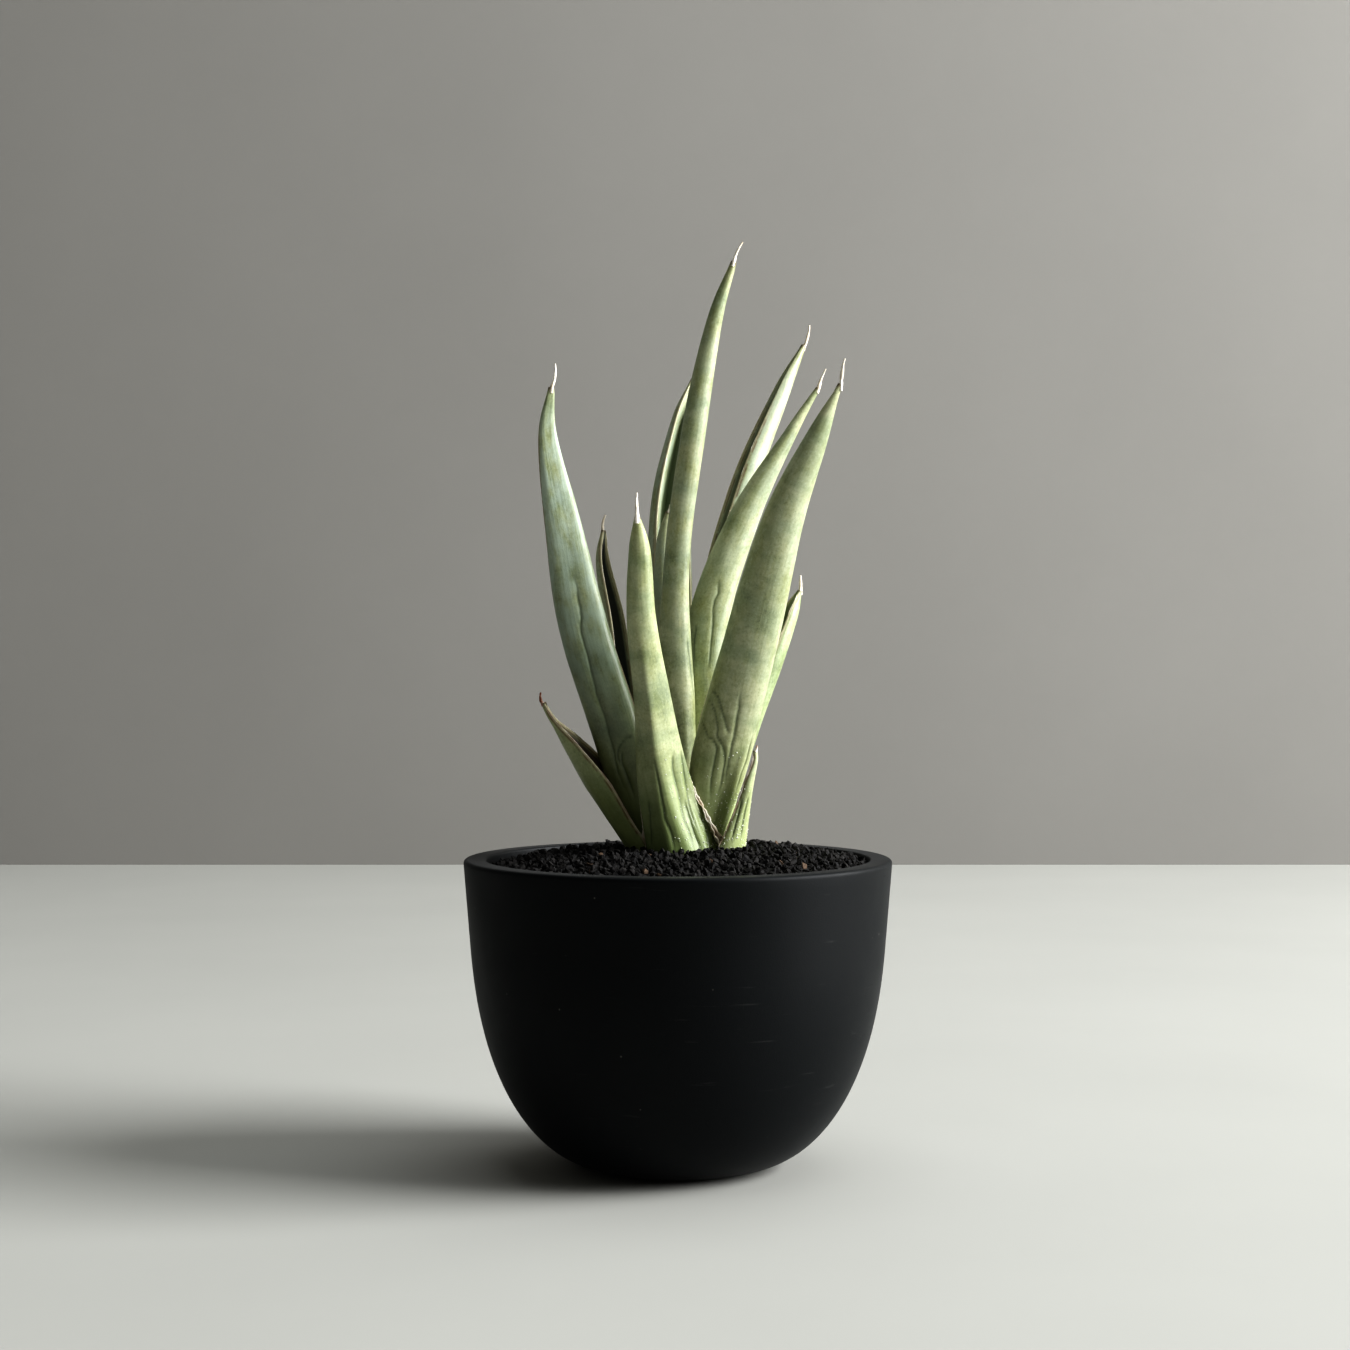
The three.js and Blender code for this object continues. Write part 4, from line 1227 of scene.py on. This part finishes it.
for name, flap in flapSpecs.items():
    piece, rim = makeFlap(name, flap)
    finishPiece(piece, "leaf")
    if "rim" in flap:
        least, more = flapRule["rimRange"]
        beads = np.abs(np.sin(np.arange(len(rim)) * flapRule["rimBeads"]))
        thickness = flap["rim"] * (least + more * beads)
        finishPiece(makeThreads(name + "_rim", [(rim, thickness, 0.0)], flap["seed"]), "leaf")
print("papery flaps made:", len(flapSpecs))


# white mineral specks splashed on the leaf bases

# the specks lie on the back up to a height, thinning upwards, from one share across to another
speckSpecs = {
    "leaf_small_right": {"top": 116, "across": (0.0, 1.0), "density": 1.5e6},
    "leaf_right_front": {"top": 122, "across": (0.35, 1.0), "density": 1.6e6},
    "leaf_front": {"top": 118, "across": (0.4, 1.0), "density": 1.1e6},
    "leaf_low_right": {"top": 112, "across": (0.3, 1.0), "density": 0.5e6},
}
speckRule = {
    "size": (0.08, 0.24), "sizePower": 2.0, "sizeSeed": 5.0, "thinning": 1.6, "sideFade": 6, "farStart": 0.3,
    "backOnly": 0.1,
}
speckLook = {
    "tones": (tone(250, 251, 244), tone(216, 220, 200)), "cloud": (700.0, 2.0), "range": (0.35, 0.65),
}
fullTurn = (6.283, 6.283, 6.283)


def makeSpeckTree():
    # small angular specks scattered over the marked part of a surface, most of them small
    tree, source, sink = newGroup(
        "mineralSpecks",
        {"Skin": "Geometry", "Density": "Float", "Smallest": "Float", "Largest": "Float", "Seed": "Int",
         "Surface": "Material"},
        {"Specks": "Geometry"}, "GeometryNodeTree",
    )
    density = calc(tree, "MULTIPLY", namedShare(tree, "splash"), source["Density"])
    points = addNode(
        tree, "GeometryNodeDistributePointsOnFaces",
        {"Mesh": source["Skin"], "Density": density, "Seed": source["Seed"]}, distribute_method="RANDOM",
    ).outputs["Points"]
    ball = addNode(tree, "GeometryNodeMeshIcoSphere", {"Radius": 1.0, "Subdivisions": 1}).outputs["Mesh"]
    turn = addNode(
        tree, "FunctionNodeRandomValue", {0: (0, 0, 0), 1: fullTurn, "Seed": source["Seed"]},
        data_type="FLOAT_VECTOR",
    ).outputs[0]
    sizeSeed = calc(tree, "ADD", source["Seed"], speckRule["sizeSeed"])
    draw = addNode(
        tree, "FunctionNodeRandomValue", {0: (0.0, 0.0, 0.0), 1: (1.0, 1.0, 1.0), "Seed": sizeSeed},
        data_type="FLOAT_VECTOR",
    ).outputs[0]
    size = calc(tree, "POWER", axesOf(tree, draw)[0], speckRule["sizePower"])
    small = addNode(tree, "ShaderNodeCombineXYZ", {i: source["Smallest"] for i in range(3)}).outputs[0]
    large = addNode(tree, "ShaderNodeCombineXYZ", {i: source["Largest"] for i in range(3)}).outputs[0]
    scaled = addNode(
        tree, "ShaderNodeMix", {"Factor": size, 4: small, 5: large}, data_type="VECTOR",
    ).outputs[1]
    specks = addNode(
        tree, "GeometryNodeInstanceOnPoints",
        {"Points": points, "Instance": ball, "Rotation": turn, "Scale": scaled},
    ).outputs[0]
    closeTree(tree, specks, source["Surface"], sink["Specks"])
    return tree


def makeSpeckMaterial(look):
    material, tree, shader = newMaterial("palePowder", Roughness=0.8, Specular_IOR_Level=0.3)
    cloud = clouds(tree, objectPlace(tree), *look["cloud"])
    color = blendColor(tree, stretch(tree, cloud, *look["range"]), *look["tones"])
    tree.links.new(color, shader.inputs["Base Color"])
    return material


speckTree = makeSpeckTree()
speckMaterial = makeSpeckMaterial(speckLook)


def makeSpecks(leafName, splash):
    # a copy of the skin carries the splash mark and is used up by the tree
    rule, grit = speckRule, leafRule["gritLevel"]
    skin = bpy.data.objects[leafName + "_grown"].data.copy()
    count = len(skin.vertices)
    places = np.empty(count * 3, np.float32)
    skin.vertices.foreach_get("co", places)
    spread = np.empty(count * 3, np.float32)
    skin.attributes["leafSpread"].data.foreach_get("vector", spread)
    height, spread = places.reshape(-1, 3)[:, 2] / mm, spread.reshape(-1, 3)
    girth = 2 * np.abs(spread[:, 0]).max()
    across = spread[:, 0] / girth + 0.5
    low, high = splash["across"]
    mark = np.clip((splash["top"] - height) / (splash["top"] - grit), 0, 1) ** rule["thinning"]
    sides = (spread[:, 2] < rule["backOnly"]) * np.clip((across - low) * rule["sideFade"], 0, 1)
    mark *= sides * np.clip((high - across) * rule["sideFade"] + rule["farStart"], 0, 1)
    mark *= height > grit
    markPoints(skin, "splash", mark.astype(np.float32))
    carrier = linkObject(leafName + "_skin", skin)
    values = {
        "Density": splash["density"], "Smallest": rule["size"][0] * mm, "Largest": rule["size"][1] * mm,
        "Seed": leafSpecs[leafName]["seed"], "Surface": speckMaterial,
    }
    return grownPiece(carrier, speckTree, values, leafName + "_specks")


for name, splash in speckSpecs.items():
    specks = makeSpecks(name, splash)
    finishPiece(specks, "leaf", smooth=False)
    print("specks on", name, len(specks.data.polygons))


# soil

soilSpec = {
    "crown": 89.4, "drop": 5.4, "sideSlope": 0.012, "edge": 53.2, "wallGap": 0.3, "rings": 54, "around": 150,
    "sink": 1.3, "wallTop": 80, "wallSkip": 4, "leavesWithin": 30, "printShare": 0.2, "printRings": 12,
    "grainKinds": 7, "grainPoints": 15, "gap": 1.55, "sizeLow": 0.75, "sizeHigh": 1.4,
    "topGap": 3.1, "topLift": 1.0, "densest": 3e6, "seed": 5,
}
grainShape = {"long": (0.85, 1.2), "wide": (0.75, 1.1), "tall": (0.65, 0.95), "reach": (0.86, 1.08)}
gritSeeds = {"layer": 17.0, "size": 3.0, "shade": 9.0}
gritLook = {
    "tones": (tone(12, 11, 12), tone(34, 32, 31)), "pits": (1900.0, 3.0), "pitRange": (0.52, 0.78),
    "pitTone": tone(56, 52, 49), "odd": (0.984, 0.99), "oddTone": tone(86, 70, 56), "holes": 1500.0,
    "holeRelief": 0.6, "rough": (0.3, 0.7, 0.7, 0.95), "bump": (0.7, 0.00025),
}


def soilHeight(x, y):
    outward = np.hypot(x, y) / (potSpec["rimRadius"] - potSpec["wall"])
    return soilSpec["crown"] - soilSpec["drop"] * outward ** 3 + soilSpec["sideSlope"] * x


def leafFootprints():
    # outline of each leaf where it leaves the grit
    prints = []
    for spec in leafSpecs.values():
        shares = np.linspace(0, soilSpec["printShare"], soilSpec["printRings"])
        points = placedSections(spec, shares, leafSections(spec, shares)[0])
        heights = leafFrame(spec, shares)[0][:, 2]
        ring = int(np.abs(heights - soilSpec["crown"]).argmin())
        prints.append(points[ring, :, :2])
    return prints


def insideOutline(x, y, outline):
    nextPoint = np.roll(outline, -1, axis=0)
    crossing = (outline[:, 1] > y) != (nextPoint[:, 1] > y)
    rise = np.where(crossing, nextPoint[:, 1] - outline[:, 1], 1)
    edge = outline[:, 0] + (y - outline[:, 1]) / rise * (nextPoint[:, 0] - outline[:, 0])
    return (crossing & (x < edge)).sum() % 2 == 1


def circlePoints(radius, around):
    angles = [2 * math.pi * side / around for side in range(around)]
    return [(radius * math.cos(angle), radius * math.sin(angle)) for angle in angles]


def makeBed(spec):
    # the mound's surface, then down the inside of the pot to its floor
    around, gap = spec["around"], spec["wallGap"]
    profile = [spec["edge"] * i / spec["rings"] for i in range(1, spec["rings"] + 1)]
    rim = potSpec["rimRadius"] - potSpec["wall"] - gap
    wall = bowlLine(potSpec["floorRadius"] - gap, rim, potSpec["floor"] + gap, potSpec)
    wall = [point for point in wall[::-spec["wallSkip"]] if point[1] < spec["wallTop"]] + [wall[0]]
    prints = leafFootprints()
    points, openShare = [(0, 0, soilHeight(0, 0) - spec["sink"])], [0.0]
    for radius in profile:
        for x, y in circlePoints(radius, around):
            points.append((x, y, float(soilHeight(x, y)) - spec["sink"]))
            near = radius < spec["leavesWithin"]
            covered = near and any(insideOutline(x, y, outline) for outline in prints)
            openShare.append(0.0 if covered else 1.0)
    for radius, height in wall:
        points += [(x, y, height) for x, y in circlePoints(radius, around)]
    points.append((0, 0, wall[-1][1]))
    openShare += [0.0] * (len(points) - len(openShare))
    faces = [(0, 1 + side, 1 + (side + 1) % around) for side in range(around)]
    total = len(profile) + len(wall)
    faces += [(a, d, c, b) for a, b, c, d in tubeFaces(total, around, 1)]
    last = 1 + (total - 1) * around
    faces += [(last + (side + 1) % around, last + side, len(points) - 1) for side in range(around)]
    mesh = bpy.data.meshes.new("soilBed")
    mesh.from_pydata((np.array(points) * mm).tolist(), [], faces)
    markPoints(mesh, "openShare", openShare)
    return linkObject("soilBed", mesh)


def makeGrainShapes():
    # angular crumbs: the hulls of a few random points, kept in a collection for the tree
    draw = random.Random(soilSpec["seed"])
    shelf = bpy.data.collections.new("gritShapes")
    for kind in range(soilSpec["grainKinds"]):
        work = bmesh.new()
        stretchBy = [draw.uniform(*grainShape[side]) for side in ("long", "wide", "tall")]
        for _ in range(soilSpec["grainPoints"]):
            way = Vector([draw.gauss(0, 1) for _ in range(3)]).normalized()
            way *= draw.uniform(*grainShape["reach"])
            work.verts.new([way[axis] * stretchBy[axis] for axis in range(3)])
        bmesh.ops.convex_hull(work, input=work.verts)
        loose = [v for v in work.verts if not v.link_faces]
        bmesh.ops.delete(work, geom=loose, context="VERTS")
        bmesh.ops.recalc_face_normals(work, faces=work.faces)
        mesh = bpy.data.meshes.new(f"grit{kind}")
        work.to_mesh(mesh)
        work.free()
        shelf.objects.link(bpy.data.objects.new(mesh.name, mesh))
    return shelf


def makeGritTree():
    # crumbs packed over the open part of a bed, with a looser layer on top
    tree, source, sink = newGroup(
        "scatteredGrit",
        {"Bed": "Geometry", "Shapes": "Collection", "Gap": "Float", "Top Gap": "Float", "Top Lift": "Float",
         "Smallest": "Float", "Largest": "Float", "Seed": "Int", "Surface": "Material"},
        {"Grit": "Geometry"}, "GeometryNodeTree",
    )
    openShare = namedShare(tree, "openShare")
    shapes = addNode(
        tree, "GeometryNodeCollectionInfo",
        {"Collection": source["Shapes"], "Separate Children": True, "Reset Children": True},
    ).outputs[0]

    def drawn(low, high, seed):
        values = {2: low, 3: high, "Seed": seed}
        return addNode(tree, "FunctionNodeRandomValue", values, data_type="FLOAT").outputs[1]

    layers = []
    for number, (gap, lift) in enumerate((("Gap", 0.0), ("Top Gap", source["Top Lift"]))):
        seed = calc(tree, "ADD", source["Seed"], gritSeeds["layer"] * number)
        points = addNode(
            tree, "GeometryNodeDistributePointsOnFaces",
            {"Mesh": source["Bed"], "Distance Min": source[gap], "Density Max": soilSpec["densest"],
             "Density Factor": openShare, "Seed": seed},
            distribute_method="POISSON",
        ).outputs["Points"]
        up = addNode(tree, "ShaderNodeCombineXYZ", {2: lift}).outputs[0]
        raised = addNode(tree, "GeometryNodeSetPosition", {"Geometry": points, "Offset": up}).outputs[0]
        turn = addNode(
            tree, "FunctionNodeRandomValue", {0: (0, 0, 0), 1: fullTurn, "Seed": seed},
            data_type="FLOAT_VECTOR",
        ).outputs[0]
        size = drawn(source["Smallest"], source["Largest"], calc(tree, "ADD", seed, gritSeeds["size"]))
        crumbs = addNode(
            tree, "GeometryNodeInstanceOnPoints",
            {"Points": raised, "Instance": shapes, "Pick Instance": True, "Rotation": turn, "Scale": size},
        ).outputs[0]
        shade = drawn(0.0, 1.0, calc(tree, "ADD", seed, gritSeeds["shade"]))
        layers.append(addNode(
            tree, "GeometryNodeStoreNamedAttribute",
            {"Geometry": crumbs, "Name": "grainShade", "Value": shade}, data_type="FLOAT", domain="INSTANCE",
        ).outputs[0])
    together = tree.nodes.new("GeometryNodeJoinGeometry")
    for layer in (*layers, source["Bed"]):
        tree.links.new(layer, together.inputs[0])
    closeTree(tree, together.outputs[0], source["Surface"], sink["Grit"])
    return tree


def makeGritMaterial(look):
    material, tree, shader = newMaterial("blackGrit", Specular_IOR_Level=0.35)
    place = objectPlace(tree)
    shade = addNode(tree, "ShaderNodeAttribute", attribute_name="grainShade").outputs["Fac"]
    pits = clouds(tree, place, *look["pits"])
    cells = addNode(tree, "ShaderNodeTexVoronoi", {"Vector": place, "Scale": look["holes"]})
    color = blendColor(tree, shade, *look["tones"])
    color = blendColor(tree, stretch(tree, pits, *look["pitRange"]), color, look["pitTone"])
    color = blendColor(tree, stretch(tree, shade, *look["odd"]), color, look["oddTone"])
    tree.links.new(color, shader.inputs["Base Color"])
    tree.links.new(stretch(tree, pits, *look["rough"]), shader.inputs["Roughness"])
    holes = calc(tree, "MULTIPLY", cells.outputs["Distance"], look["holeRelief"])
    relief = calc(tree, "ADD", pits, holes)
    addRelief(tree, shader, relief, *look["bump"])
    return material


def makeSoil(spec):
    shelf = makeGrainShapes()
    values = {
        "Shapes": shelf, "Gap": spec["gap"] * mm, "Top Gap": spec["topGap"] * mm,
        "Top Lift": spec["topLift"] * mm, "Smallest": spec["sizeLow"] * mm, "Largest": spec["sizeHigh"] * mm,
        "Seed": spec["seed"], "Surface": makeGritMaterial(gritLook),
    }
    soil = grownPiece(makeBed(spec), makeGritTree(), values, "grit_soil")
    for shape in list(shelf.objects):
        bpy.data.objects.remove(shape)
    bpy.data.collections.remove(shelf)
    return soil


soil = makeSoil(soilSpec)
finishPiece(soil, "soil", "soil", smooth=False)
print("soil made:", len(soil.data.polygons), "faces")


# rootstock, under the grit: the CAD node itself, coloured

rootLook = {
    "patch": (220.0, 4.0), "patchRange": (0.35, 0.65), "tones": (tone(192, 150, 96), tone(140, 92, 52)),
    "ringScale": 160.0, "ringDistortion": 6.0, "ringRange": (0.7, 1.0), "ringShare": 0.4,
    "ringTone": tone(104, 68, 40), "bump": (0.4, 0.0003),
}


def makeRootMaterial(look):
    material, tree, shader = newMaterial("fleshyRoot", Roughness=0.7, Specular_IOR_Level=0.35)
    place = objectPlace(tree)
    patch = clouds(tree, place, *look["patch"])
    rings = addNode(
        tree, "ShaderNodeTexWave",
        {"Vector": place, "Scale": look["ringScale"], "Distortion": look["ringDistortion"], "Detail": 2.0},
        bands_direction="Z",
    ).outputs["Fac"]
    color = blendColor(tree, stretch(tree, patch, *look["patchRange"]), *look["tones"])
    ringMask = calc(tree, "MULTIPLY", stretch(tree, rings, *look["ringRange"]), look["ringShare"])
    color = blendColor(tree, ringMask, color, look["ringTone"])
    tree.links.new(color, shader.inputs["Base Color"])
    addRelief(tree, shader, rings, *look["bump"])
    return material


rootMaterial = makeRootMaterial(rootLook)
rootSlots = bpy.data.objects["rootstock"].material_slots
for slot in rootSlots:
    slot.material = rootMaterial
if not rootSlots:
    bpy.data.objects["rootstock"].data.materials.append(rootMaterial)
print("rootstock coloured")
